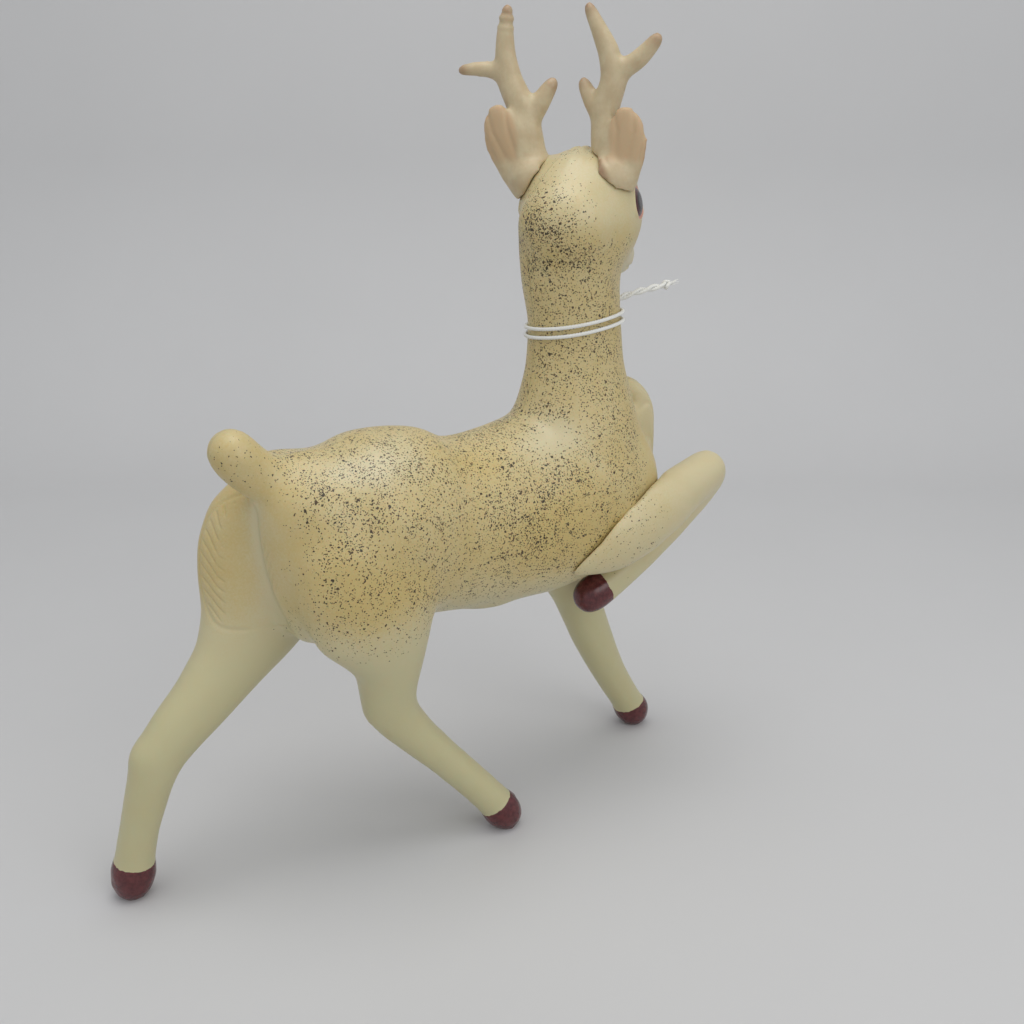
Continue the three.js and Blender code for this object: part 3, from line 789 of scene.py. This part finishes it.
def build_lamp():
    phenolic = moulded("brown_plastic", (0.035, 0.017, 0.010), (0.060, 0.030, 0.018), 0.32)
    brass = metal("brass", (0.72, 0.47, 0.16), (0.33, 0.20, 0.07), 0.26)
    steel = metal("spring_steel", (0.46, 0.46, 0.47), (0.22, 0.21, 0.20), 0.30)
    black = moulded("black_glass", (0.008, 0.008, 0.010), (0.014, 0.014, 0.018), 0.12)
    solder = metal("solder", (0.55, 0.55, 0.56), (0.28, 0.28, 0.29), 0.38)
    glass = clear_glass()
    holder = turned("lampholder_moulding", [
        (0, FLANGE_Z), (7.2, FLANGE_Z), (7.5, FLANGE_Z + 0.5), (8.1, FLANGE_Z + 0.5), (8.4, FLANGE_Z),
        (12.7, FLANGE_Z), (13.2, FLANGE_Z + 0.2), (13.4, FLANGE_Z + 0.7), (13.4, HOLDER_Z - 0.4),
        (13.1, HOLDER_Z), (10.4, HOLDER_Z), (10.0, HOLDER_Z + 0.4), (10.0, HOLDER_TOP - 0.5),
        (9.6, HOLDER_TOP), (8.0, HOLDER_TOP), (7.6, HOLDER_TOP - 0.4), (7.6, BORE_Z), (0, BORE_Z)])
    bpy.ops.mesh.primitive_cylinder_add(vertices=32, radius=1.8 * MM, depth=12 * MM,
                                        location=at(0, -LAMP_AHEAD + 4, FLANGE_Z + 2.5))
    inlet = placed(bpy.context.object)
    finished_with(holder, "BOOLEAN", operation="DIFFERENCE", solver="EXACT", object=inlet)
    bpy.data.objects.remove(inlet)
    shaded(holder, 35)
    finish_piece(holder, "holder", "lampholder", phenolic)
    shell = turned("screw_shell_rolled", tube_profile(6.95, 7.35, BORE_Z + 2, HOLDER_TOP - 0.5))
    threaded(shell, BORE_Z + 3, HOLDER_TOP - 1.5, 0.32)
    finish_piece(shell, "holder", "screw_shell", brass)
    cap = turned("lamp_cap_rolled", tube_profile(5.55, 5.9, CAP_Z + 1.8, CAP_TOP))
    threaded(cap, CAP_Z + 3, CAP_TOP - 3.0, 0.36)
    finish_piece(cap, "lamp", "lamp_cap", brass)
    build_glass(glass)
    carry("centre_contact", brass)
    carry("holder_clip", steel)
    carry("lamp_insulator", black)
    carry("lamp_tip", solder)
    carry("lamp_stem", glass)
    carry("filament", steel)


def build_glass(material):
    """The pear-shaped envelope, drawn through the same points as its solid."""
    outline = [(5, 0), (5.4, 3), (9.6, 10), (11, 16), (9.7, 24), (6, 32), (2, 36.3), (0, 37)]
    outer = curve_through(outline, 8)
    inner = [(max(radius - 0.7, 0.0), height - 0.7 * height / 37) for radius, height in outer]
    profile = [*outer, *reversed(inner)]
    profile = [(radius, height + GLASS_Z) for radius, height in [*profile, profile[0]]]
    envelope = turned("lamp_envelope", profile)
    finish_piece(envelope, "lamp", "lamp_glass", material)


def curve_through(stations, parts):
    """Points on a smooth line through stations of any dimension."""
    places = np.array(stations, float)
    padded = np.vstack([2 * places[0] - places[1], places, 2 * places[-1] - places[-2]])
    line = []
    for a, b, c, d in zip(padded, padded[1:], padded[2:], padded[3:]):
        for share in np.arange(parts) / parts:
            line.append(0.5 * ((2 * b) + (c - a) * share + (2 * a - 5 * b + 4 * c - d) * share ** 2
                               + (3 * b - a - 3 * c + d) * share ** 3))
    line.append(places[-1])
    return [tuple(max(v, 0.0) if len(p) == 2 else v for v in p) for p in line]


def carry(node, material):
    """A CAD node that is shown as it is, in a material of its own."""
    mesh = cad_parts[node].data
    mesh.materials.clear()
    mesh.materials.append(material)


# ---- the twine ----
STRING_LEVELS = (239.4, 243.4)
STRING_TILT = np.array((-0.085, -0.125))   # rise of the turns for each millimetre left and back
NECK_MIDDLE = np.array((0.0, -76.0))
HITCH = (8.4, -99.2)
PLY_R = 0.50
PLIES = 3
PLY_OUT = 0.43                             # from a yarn's middle to the middle of a ply
YARN_OUT = 0.86                            # from a yarn's middle to what it lies on
LAY = 4.2                                  # length of one twist
NECK_R = 21.5
POINT_SPACING = 0.3                        # between the points of a bent yarn
TAIL_ROUTE = [(9, -99.9, 243.5), (7.5, -104, 247), (6, -110, 250), (5, -118, 252), (5, -128, 253.2),
              (5, -136, 254)]


def yarn(name, routes, radius, sides=2):
    """Round threads along routes of points in millimetres, as one mesh."""
    data = bpy.data.curves.new(name, "CURVE")
    data.dimensions = "3D"
    data.bevel_depth = radius * MM
    data.bevel_resolution = sides
    data.use_fill_caps = True
    for route in routes:
        spline = data.splines.new("POLY")
        spline.points.add(len(route) - 1)
        flat = [c for point in route for c in (*at(*point), 1.0)]
        spline.points.foreach_set("co", flat)
    choose(linked(name, data))
    bpy.ops.object.convert(target="MESH")
    bpy.ops.object.shade_smooth()
    return bpy.context.object


def plies(route, start=0.0, reach=PLY_OUT):
    """Routes of the plies twisted round a route."""
    line = np.array(route, float)
    steps = np.linalg.norm(np.diff(line, axis=0), axis=1)
    run = np.concatenate([[0], np.cumsum(steps)])
    tangent = np.gradient(line, axis=0)
    tangent /= np.linalg.norm(tangent, axis=1)[:, None]
    across = np.cross(tangent, (0.0, 0.0, 1.0))
    across /= np.linalg.norm(across, axis=1)[:, None]
    upward = np.cross(across, tangent)
    made = []
    for k in range(PLIES):
        angle = 2 * math.pi * (run / LAY + k / PLIES) + start
        made.append(line + reach * (np.cos(angle)[:, None] * across + np.sin(angle)[:, None] * upward))
    return made


def evenly(route, spacing):
    """The same line with points that far apart."""
    line = np.array(route, float)
    run = np.concatenate([[0], np.cumsum(np.linalg.norm(np.diff(line, axis=0), axis=1))])
    wanted = np.linspace(0, run[-1], max(2, int(run[-1] / spacing) + 1))
    return np.stack([np.interp(wanted, run, line[:, axis]) for axis in range(3)], axis=1)


def neck_skin():
    """The points of both halves' skin round the neck, about its middle."""
    points = np.vstack([points_of(bpy.data.objects[node + "_moulding"]) for node in SHELLS])
    points = points[(points[:, 2] > 228) & (points[:, 2] < 256)]
    return points - (*NECK_MIDDLE, 0.0)


def turn_on(skin, level):
    """A turn of twine that lies on the neck."""
    angles = np.linspace(0, 2 * math.pi, 73)[:-1]
    ways = np.stack([np.cos(angles), np.sin(angles)], axis=1)
    reach = np.full(len(angles), NECK_R)
    height = level + NECK_R * ways @ STRING_TILT
    skin_angle = np.arctan2(skin[:, 1], skin[:, 0]) % (2 * math.pi)
    for k, angle in enumerate(angles):
        apart = np.abs((skin_angle - angle + math.pi) % (2 * math.pi) - math.pi)
        near = (apart < 0.12) & (np.abs(skin[:, 2] - height[k]) < 1.8)
        if near.any():
            reach[k] = np.percentile(np.linalg.norm(skin[near, :2], axis=1), 90)
    for _ in range(4):
        reach = 0.5 * reach + 0.25 * (np.roll(reach, 1) + np.roll(reach, -1))
    reach += YARN_OUT
    middle = np.concatenate([NECK_MIDDLE, [0.0]])
    turn = np.concatenate([ways * reach[:, None], height[:, None]], axis=1) + middle
    return evenly(np.vstack([turn, turn[:1]]), 0.5)


def build_neck_string(material):
    skin = neck_skin()
    routes = []
    for number, level in enumerate(STRING_LEVELS):
        routes += plies(turn_on(skin, level), number)
    x, y = HITCH
    knot = curve_through([(x - 2, y + 0.6, 239.6), (x + 0.8, y - 1.3, 241.5), (x + 1.2, y - 0.6, 245),
                          (x - 0.4, y - 1.2, 246.3), (x - 1.5, y - 0.8, 243), (x + 0.6, y - 1.7, 241),
                          (x + 1.6, y + 0.2, 239.8)], 10)
    routes += plies(evenly(knot, POINT_SPACING))
    string = yarn("neck_string_twisted", routes, PLY_R)
    finish_piece(string, "deer", "neck_string", material)


def build_string_tail(material):
    route = evenly(curve_through(TAIL_ROUTE, 12), POINT_SPACING)
    tangent = np.gradient(route, axis=0)
    tangent /= np.linalg.norm(tangent, axis=1)[:, None]
    across = np.cross(tangent, (0.0, 0.0, 1.0))
    run = np.linspace(0, 1, len(route))
    roll = 2 * math.pi * 2.2 * run
    upward = np.cross(across, tangent)
    aside = YARN_OUT * (np.cos(roll)[:, None] * across + np.sin(roll)[:, None] * upward)
    routes = [thread for side in (-1, 1) for thread in plies(route + side * aside, side)]
    end = np.array(route[-1])
    loop = [end + np.array((1.7 * math.cos(t) * 0.8, 0.9 * math.sin(2 * t) - 1.2, 1.6 * math.sin(t)))
            for t in np.linspace(0, 4 * math.pi, 60)]
    knot = plies(evenly(loop, POINT_SPACING), reach=0.40)
    chance = random.Random(7)
    fray = []
    for _ in range(16):
        spread = np.array((chance.uniform(-1.6, 1.6), -chance.uniform(3.0, 7.0), chance.uniform(-1.2, 2.2)))
        bend = np.array((chance.uniform(-1, 1), 0.0, chance.uniform(-1, 1)))
        start = end + np.array((0, -1.5, 0)) + 0.15 * spread
        fray.append(evenly(curve_through([start, start + 0.5 * spread + 0.5 * bend, start + spread], 6), 0.4))
    tail = yarn("string_tail_twisted", routes, PLY_R)
    finish_piece(tail, "deer", "string_tail", material)
    end_knot = joined(yarn("string_tail_knot", knot, PLY_R), yarn("fray", fray, 0.13, 1))
    end_knot.data.materials.append(material)
    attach(end_knot, "deer")


# ---- materials ----
class Value:
    """A shader socket on which Python arithmetic adds Math nodes."""

    def __init__(self, finish, node, output):
        self.finish = finish
        self.node = node
        self.socket = node.outputs[output]

    def of(self, output):
        """Another output of the same node."""
        return Value(self.finish, self.node, output)

    def math(self, operation, *others):
        return self.finish.node("Math", {"operation": operation}, dict(enumerate((self, *others))))

    def __add__(self, other):
        return self.math("ADD", other)

    __radd__ = __add__

    def __mul__(self, other):
        return self.math("MULTIPLY", other)

    __rmul__ = __mul__

    def __sub__(self, other):
        return self.math("SUBTRACT", other)

    def __rsub__(self, other):
        return self.finish.node("Math", {"operation": "SUBTRACT"}, {0: other, 1: self})

    def __lt__(self, other):
        return self.math("LESS_THAN", other)

    def ramp(self, low, high):
        """0 at low, 1 at high and smooth between."""
        settings = {"interpolation_type": "SMOOTHSTEP"}
        return self.finish.node("MapRange", settings, {"Value": self, "From Min": low, "From Max": high})


class Finish:
    """One material being made, with its shader."""

    def __init__(self, name, **constants):
        self.material = bpy.data.materials.new(name)
        self.material.use_nodes = True
        self.tree = self.material.node_tree
        self.shader = self.tree.nodes["Principled BSDF"]
        for socket, value in constants.items():
            self.shader.inputs[socket.replace("_", " ")].default_value = value

    def node(self, kind, settings=None, inputs=None, output=0):
        """A node of a type, with its settings made first and then its sockets' values or links."""
        made = self.tree.nodes.new("ShaderNode" + kind)
        for name, value in (settings or {}).items():
            setattr(made, name, value)
        for socket, value in (inputs or {}).items():
            self.feed(made.inputs[socket], value)
        return Value(self, made, output)

    def feed(self, socket, value):
        if isinstance(value, Value):
            self.tree.links.new(value.socket, socket)
        elif socket.type == "RGBA":
            socket.default_value = (*value, 1.0)
        else:
            socket.default_value = value

    def set(self, socket, value):
        self.feed(self.shader.inputs[socket], value)

    def place(self):
        return self.node("TexCoord", output="Object")

    def measure(self, name):
        """The number kept for each vertex under that name."""
        return self.node("Attribute", {"attribute_name": name}, output="Fac")

    def noise(self, vector, size, detail=3.0, roughness=0.5):
        inputs = {"Vector": vector, "Scale": 1 / (size * MM), "Detail": detail, "Roughness": roughness}
        return self.node("TexNoise", None, inputs)

    def mix(self, share, first, second):
        settings = {"data_type": "RGBA", "clamp_factor": True}
        return self.node("Mix", settings, {0: share, 6: first, 7: second}, output=2)

    def shifted(self, vector, offset):
        return self.node("VectorMath", {"operation": "ADD"}, {0: vector, 1: offset})

    def bump(self, height, distance, strength=1.0):
        return self.node("Bump", None, {"Height": height, "Distance": distance * MM, "Strength": strength})


def flecks(finish, place, size, density, seed):
    """Little splashes of paint in a share of the cells of that size."""
    wobble = finish.noise(place, size / 1.3, 2.0)
    bent = finish.node("VectorMath", {"operation": "MULTIPLY_ADD"},
                       {0: wobble.of("Color"), 1: (1.15 * size * MM,) * 3, 2: place})
    moved = finish.shifted(bent, (seed, 0.37 * seed, 0.61 * seed))
    cells = finish.node("TexVoronoi", {"feature": "F1"}, {"Vector": moved, "Scale": 1 / (size * MM)})
    chance = finish.node("SeparateColor", None, {0: cells.of("Color")})
    radius = 0.20 + 0.24 * chance.of("Green")
    return (chance < density) * (cells < radius)


def body_plastic(colours):
    """Cream plastic under beige spray and dark flecks, with dipped hooves and painted eyes, and with painted
    highlights where spray and flecks thin out on the shoulder, the back and the top of the head.
    """
    made = bpy.data.materials.get("deer_plastic")
    if made:
        return made
    finish = Finish("deer_plastic", Coat_Weight=0.15, Coat_Roughness=0.25, Subsurface_Weight=0.12,
                    Subsurface_Scale=0.004)
    place = finish.place()
    cloud = finish.noise(place, 16.0, 4.0, 0.55)
    # The spray measure also holds painted highlights, where less spray lets the paler cream show on the
    # shoulder, the back and the top of the head.
    cover = finish.measure("spray") + (cloud - 0.5) * 0.55
    mist = finish.noise(place, 0.9, 2.0, 0.7)
    beige = (cover * 0.95 + (mist - 0.5) * 0.55).ramp(0.05, 0.95)
    axes = finish.node("SeparateXYZ", None, {0: place})
    green = 1 - axes.of("Z").ramp(0.085, 0.15)
    plastic = finish.mix(green * 0.85, colours.cream, colours.leg)
    plastic = finish.mix(beige, plastic, colours.spray)
    age = finish.noise(place, 34.0, 5.0, 0.6).ramp(0.45, 0.8)
    plastic = finish.mix(age * 0.22, plastic, colours.aged)
    clumps = finish.noise(place, 9.0, 3.0, 0.6).ramp(0.25, 0.78)
    density = finish.measure("flecks") * (0.30 + 1.25 * clumps)
    fine = flecks(finish, place, 0.72, density * 1.1, 0.013)
    small = flecks(finish, place, 1.02, density * 0.95, 0.027)
    large = flecks(finish, place, 1.55, density * density * 0.9, 0.041)
    spots = fine.math("MAXIMUM", small).math("MAXIMUM", large)
    tone = finish.noise(place, 3.0, 2.0)
    dark = finish.mix(tone.ramp(0.35, 0.65), colours.fleck, colours.fleck_brown)
    plastic = finish.mix(spots * 0.93, plastic, dark)
    wavy = (finish.noise(place, 3.2, 3.0) - 0.5) * 1.6
    hoof = (finish.measure("hoof") + wavy).ramp(-0.12, 0.12)
    streaks = finish.noise(place, 2.4, 4.0, 0.65)
    maroon = finish.mix(streaks.ramp(0.3, 0.75), colours.maroon, colours.maroon_light)
    plastic = finish.mix(hoof, plastic, maroon)
    eye = finish.measure("eye")
    plastic = finish.mix((eye + wavy * 0.1).ramp(-1.5, -1.1), plastic, colours.lid)
    plastic = finish.mix((eye + wavy * 0.12).ramp(-0.15, 0.05), plastic, colours.maroon)
    plastic = finish.mix(eye.ramp(1.7, 1.95), plastic, colours.pupil)
    nose = (finish.measure("nose") + wavy * 0.3).ramp(-0.15, 0.15)
    plastic = finish.mix(nose, plastic, maroon)
    finish.set("Base Color", plastic)
    paint = hoof.math("MAXIMUM", nose).math("MAXIMUM", eye.ramp(-0.15, 0.05))
    grain = finish.noise(place, 1.1, 3.0, 0.6)
    finish.set("Roughness", 0.40 + 0.12 * (grain - 0.5) + 0.10 * beige - 0.16 * paint)
    apart = (axes.of("X") - ORIGIN.x).math("ABSOLUTE")
    seam = 1 - apart.ramp(0.25 * MM, 0.7 * MM)
    relief = 0.35 * grain + 0.5 * spots + 1.5 * finish.noise(place, 11.0, 2.0) + 2.0 * seam
    finish.set("Normal", finish.bump(relief, 0.10, 0.8))
    return finish.material


def antler_plastic(colours):
    """Tan plastic, pinker on the ears, with a soft grain along the beams."""
    finish = Finish("tan_plastic", Coat_Weight=0.05, Coat_Roughness=0.3, Subsurface_Weight=0.12,
                    Subsurface_Scale=0.004)
    place = finish.place()
    cloud = finish.noise(place, 7.0, 4.0, 0.6)
    tan = finish.mix(cloud.ramp(0.3, 0.75), colours.antler, colours.antler_pale)
    tan = finish.mix(finish.measure("ear") * (0.6 + 0.5 * cloud), tan, colours.ear)
    tips = finish.measure("tip") * (0.5 + 0.8 * finish.noise(place, 3.0, 3.0))
    tan = finish.mix(tips * 0.75, tan, colours.tip)
    finish.set("Base Color", tan)
    grain = finish.noise(place, 0.9, 3.0, 0.6)
    finish.set("Roughness", 0.44 + 0.14 * (grain - 0.5))
    finish.set("Normal", finish.bump(0.5 * grain + finish.noise(place, 4.0, 2.0), 0.14, 0.8))
    return finish.material


def twine_cotton(colours):
    finish = Finish("twine", Roughness=0.9, Sheen_Weight=0.3)
    place = finish.place()
    fibre = finish.noise(place, 0.25, 4.0, 0.7)
    finish.set("Base Color", finish.mix(fibre.ramp(0.3, 0.7), colours.twine_shade, colours.twine))
    finish.set("Normal", finish.bump(fibre, 0.12, 0.9))
    return finish.material


def metal(name, colour, tarnish, roughness):
    """Thin sheet metal with rubbed and dull places."""
    finish = Finish(name, Metallic=1.0)
    place = finish.place()
    dull = finish.noise(place, 2.5, 5.0, 0.65).ramp(0.4, 0.8)
    finish.set("Base Color", finish.mix(dull * 0.6, colour, tarnish))
    finish.set("Roughness", roughness + 0.22 * dull)
    finish.set("Normal", finish.bump(finish.noise(place, 0.4, 3.0), 0.03, 0.6))
    return finish.material


def moulded(name, colour, pale, roughness):
    """Hard moulded material with faint clouds and a fine grain."""
    finish = Finish(name)
    place = finish.place()
    cloud = finish.noise(place, 3.0, 4.0, 0.6).ramp(0.35, 0.8)
    finish.set("Base Color", finish.mix(cloud, colour, pale))
    finish.set("Roughness", roughness + 0.15 * cloud)
    finish.set("Normal", finish.bump(finish.noise(place, 0.6, 3.0), 0.04, 0.5))
    return finish.material


def clear_glass():
    finish = Finish("lamp_glass", Roughness=0.04, IOR=1.5, Transmission_Weight=1.0)
    smear = finish.noise(finish.place(), 6.0, 3.0)
    finish.set("Base Color", finish.mix(smear, (0.97, 0.97, 0.94), (0.90, 0.91, 0.88)))
    return finish.material


# ---- stage ----
AIM = Vector((-0.0278, -0.0255, 0.1645))   # what the camera looks at
CAMERA_AZIMUTH = math.radians(236)
CAMERA_ELEVATION = math.radians(19.2)
CAMERA_DISTANCE = 0.497
SENSOR = 36.0
LENS = SENSOR * 1100 / 1024
AWAY = Vector((-math.sin(CAMERA_AZIMUTH), math.cos(CAMERA_AZIMUTH), 0.0))   # from the camera, level
ASIDE = Vector((-AWAY.y, AWAY.x, 0.0))


def build_camera():
    data = bpy.data.cameras.new("camera")
    data.sensor_width = SENSOR
    data.lens = LENS
    data.clip_start = 0.01
    camera = linked("camera", data)
    back = Vector((0, 0, math.sin(CAMERA_ELEVATION))) - AWAY * math.cos(CAMERA_ELEVATION)
    camera.location = AIM + back * CAMERA_DISTANCE
    camera.rotation_mode = "QUATERNION"
    camera.rotation_quaternion = (-back).to_track_quat("-Z", "Y")
    bpy.context.scene.camera = camera


def area_light(name, place, aim, size, power, colour):
    data = bpy.data.lights.new(name, "AREA")
    data.shape = "DISK"
    data.size = size
    data.energy = power
    data.color = colour
    light = linked(name, data)
    light.location = place
    light.rotation_mode = "QUATERNION"
    light.rotation_quaternion = (Vector(aim) - Vector(place)).to_track_quat("-Z", "Y")


def build_backdrop(settings):
    """A sheet of paper that lies on the floor and curves up behind the deer."""
    bend = [(settings.bend_at + settings.bend_radius * math.sin(a),
             settings.bend_radius * (1 - math.cos(a))) for a in np.linspace(0, math.pi / 2, 25)]
    profile = [(-3.0, 0.0), *bend, (settings.bend_at + settings.bend_radius, 3.0)]
    mesh = bpy.data.meshes.new("backdrop")
    base = Vector((AIM.x, AIM.y, 0.0))
    points = [base + AWAY * away + ASIDE * side + Vector((0, 0, up))
              for away, up in profile for side in (-3.0, 3.0)]
    faces = [(2 * k, 2 * k + 1, 2 * k + 3, 2 * k + 2) for k in range(len(profile) - 1)]
    mesh.from_pydata(points, [], faces)
    backdrop = linked("backdrop", mesh)
    shaded(backdrop)
    finish = Finish("backdrop_paper", Specular_IOR_Level=0.3)
    place = finish.place()
    cloud = finish.noise(place, 160.0, 3.0)
    darker = [0.955 * channel for channel in settings.paper]
    finish.set("Base Color", finish.mix(cloud, settings.paper, darker))
    finish.set("Roughness", 0.62 + 0.1 * finish.noise(place, 12.0))
    mesh.materials.append(finish.material)


def build_stage(settings):
    scene = bpy.context.scene
    scene.view_settings.view_transform = "Standard"
    build_backdrop(settings)
    world = bpy.data.worlds.new("studio")
    scene.world = world
    world.use_nodes = True
    sockets = world.node_tree.nodes["Background"].inputs
    sockets["Color"].default_value = (*settings.sky, 1)
    sockets["Strength"].default_value = settings.ambient
    above = Vector((AIM.x, AIM.y, 0)) + AWAY * -0.05 + Vector((0, 0, 1.25))
    beside = AIM - AWAY * 0.9 - ASIDE * 0.7 + Vector((0, 0, 0.7))
    area_light("overhead", above, (AIM.x, AIM.y, 0.1), 0.85, settings.overhead, (1.0, 0.985, 0.955))
    area_light("side", beside, AIM, 0.9, settings.side, (1.0, 0.99, 0.97))


# ---- settings ----
def colour(name, description, default):
    return FloatVectorProperty(name=name, description=description, subtype="COLOR", size=3, default=default,
                               min=0, max=1)


def length(name, description, default, low, high):
    return FloatProperty(name=name, description=description, default=default, min=low, max=high,
                         unit="LENGTH", precision=4)


def power(name, description, default):
    return FloatProperty(name=name, description=description, default=default, min=0, unit="POWER")


class ReindeerForm(bpy.types.PropertyGroup):
    """Sizes of the mouldings."""
    voxel: length("Form grain", "Face size of the body's skin", 1.5 * MM, 0.8 * MM, 3 * MM)
    fine_voxel: length("Fine grain", "Face size of the antlers and ears", 0.75 * MM, 0.4 * MM, 2 * MM)
    smoothing: IntProperty(name="Smoothing", description="Rounds of smoothing over the drawn form",
                           default=56, min=4, max=150)
    wall: length("Wall", "Thickness of the plastic", 2 * MM, 1 * MM, 3 * MM)


class ReindeerColours(bpy.types.PropertyGroup):
    """Colours of the plastic, its paint and the twine."""
    cream: colour("Cream", "Bare plastic of the body", (0.63, 0.55, 0.335))
    spray: colour("Spray", "Beige spray over the body", (0.56, 0.425, 0.160))
    leg: colour("Legs", "Bare plastic low on the legs", (0.52, 0.485, 0.275))
    aged: colour("Aged", "Yellowed patches", (0.52, 0.40, 0.17))
    fleck: colour("Flecks", "Dark spatter", (0.006, 0.003, 0.002))
    fleck_brown: colour("Brown flecks", "Where the spatter is thin", (0.045, 0.021, 0.007))
    maroon: colour("Hooves", "Paint of the hooves, nose and eyes", (0.068, 0.010, 0.013))
    maroon_light: colour("Worn hooves", "Where that paint is thin", (0.14, 0.026, 0.028))
    pupil: colour("Pupils", "Middle of the eyes", (0.010, 0.006, 0.006))
    lid: colour("Lids", "Pink rims of the eyes", (0.62, 0.28, 0.20))
    antler: colour("Antlers", "Tan of the antlers", (0.53, 0.42, 0.255))
    antler_pale: colour("Rubbed antlers", "Paler tan", (0.61, 0.51, 0.325))
    ear: colour("Ears", "Tan of the ears", (0.56, 0.39, 0.225))
    tip: colour("Tips", "Brown edges of tips and ears", (0.22, 0.07, 0.03))
    twine: colour("Twine", "Cotton twine", (0.92, 0.92, 0.89))
    twine_shade: colour("Twine shade", "Between its fibres", (0.72, 0.72, 0.68))


class ReindeerStage(bpy.types.PropertyGroup):
    """The backdrop and the light."""
    paper: colour("Paper", "Colour of the backdrop", (0.625, 0.622, 0.625))
    bend_at: length("Bend", "Where the paper starts to rise behind the deer", 0.55, 0.3, 3)
    bend_radius: length("Bend radius", "How softly it rises", 0.30, 0.05, 2)
    sky: colour("Sky", "Colour of the even light", (0.95, 0.975, 1.0))
    ambient: FloatProperty(name="Ambient", description="Strength of the even light", default=0.64, min=0,
                           max=5)
    overhead: power("Overhead", "Power of the light above", 4.6)
    side: power("Side", "Power of the light by the camera", 3.0)


# ---- operators ----
def chosen_settings(context):
    return context.scene.reindeer_form, context.scene.reindeer_colours


class REINDEER_OT_shells(bpy.types.Operator):
    """Builds the two halves of the body and the three standing legs"""
    bl_idname = "reindeer.shells"
    bl_label = "Body and legs"

    def execute(self, context):
        build_shells(*chosen_settings(context))
        return {"FINISHED"}


class REINDEER_OT_foreleg(bpy.types.Operator):
    """Builds the raised foreleg"""
    bl_idname = "reindeer.foreleg"
    bl_label = "Raised foreleg"

    def execute(self, context):
        build_raised_foreleg(*chosen_settings(context))
        return {"FINISHED"}


class REINDEER_OT_antlers(bpy.types.Operator):
    """Builds the antlers with their ears"""
    bl_idname = "reindeer.antlers"
    bl_label = "Antlers and ears"

    def execute(self, context):
        build_antlers(*chosen_settings(context))
        return {"FINISHED"}


class REINDEER_OT_lamp(bpy.types.Operator):
    """Builds the lampholder and the lamp"""
    bl_idname = "reindeer.lamp"
    bl_label = "Lamp"

    def execute(self, context):
        build_lamp()
        return {"FINISHED"}


class REINDEER_OT_twine(bpy.types.Operator):
    """Ties the twine round the neck"""
    bl_idname = "reindeer.twine"
    bl_label = "Twine"

    def execute(self, context):
        material = twine_cotton(context.scene.reindeer_colours)
        build_neck_string(material)
        build_string_tail(material)
        return {"FINISHED"}


class REINDEER_OT_stage(bpy.types.Operator):
    """Hangs the backdrop and sets the lights and the camera"""
    bl_idname = "reindeer.stage"
    bl_label = "Stage"

    def execute(self, context):
        build_camera()
        build_stage(context.scene.reindeer_stage)
        return {"FINISHED"}


class REINDEER_PT_panel(bpy.types.Panel):
    """Lists the reindeer's pieces and their settings"""
    bl_idname = "REINDEER_PT_panel"
    bl_label = "Reindeer"
    bl_space_type = "VIEW_3D"
    bl_region_type = "UI"
    bl_category = "Reindeer"

    def draw(self, context):
        layout = self.layout
        scene = context.scene
        for group in (scene.reindeer_form, scene.reindeer_colours, scene.reindeer_stage):
            for name in group.bl_rna.properties.keys():
                if name not in ("name", "rna_type"):
                    layout.prop(group, name)
        for operator in OPERATORS:
            layout.operator(operator.bl_idname)


OPERATORS = (REINDEER_OT_stage, REINDEER_OT_shells, REINDEER_OT_foreleg, REINDEER_OT_antlers,
             REINDEER_OT_lamp, REINDEER_OT_twine)
CLASSES = (ReindeerForm, ReindeerColours, ReindeerStage, *OPERATORS, REINDEER_PT_panel)


def register():
    for item in CLASSES:
        bpy.utils.register_class(item)
    bpy.types.Scene.reindeer_form = PointerProperty(type=ReindeerForm)
    bpy.types.Scene.reindeer_colours = PointerProperty(type=ReindeerColours)
    bpy.types.Scene.reindeer_stage = PointerProperty(type=ReindeerStage)


def unregister():
    del bpy.types.Scene.reindeer_stage
    del bpy.types.Scene.reindeer_colours
    del bpy.types.Scene.reindeer_form
    for item in reversed(CLASSES):
        bpy.utils.unregister_class(item)


def main():
    register()
    for operator in OPERATORS:
        group, name = operator.bl_idname.split(".")
        getattr(getattr(bpy.ops, group), name)()


if __name__ == "__main__":
    main()
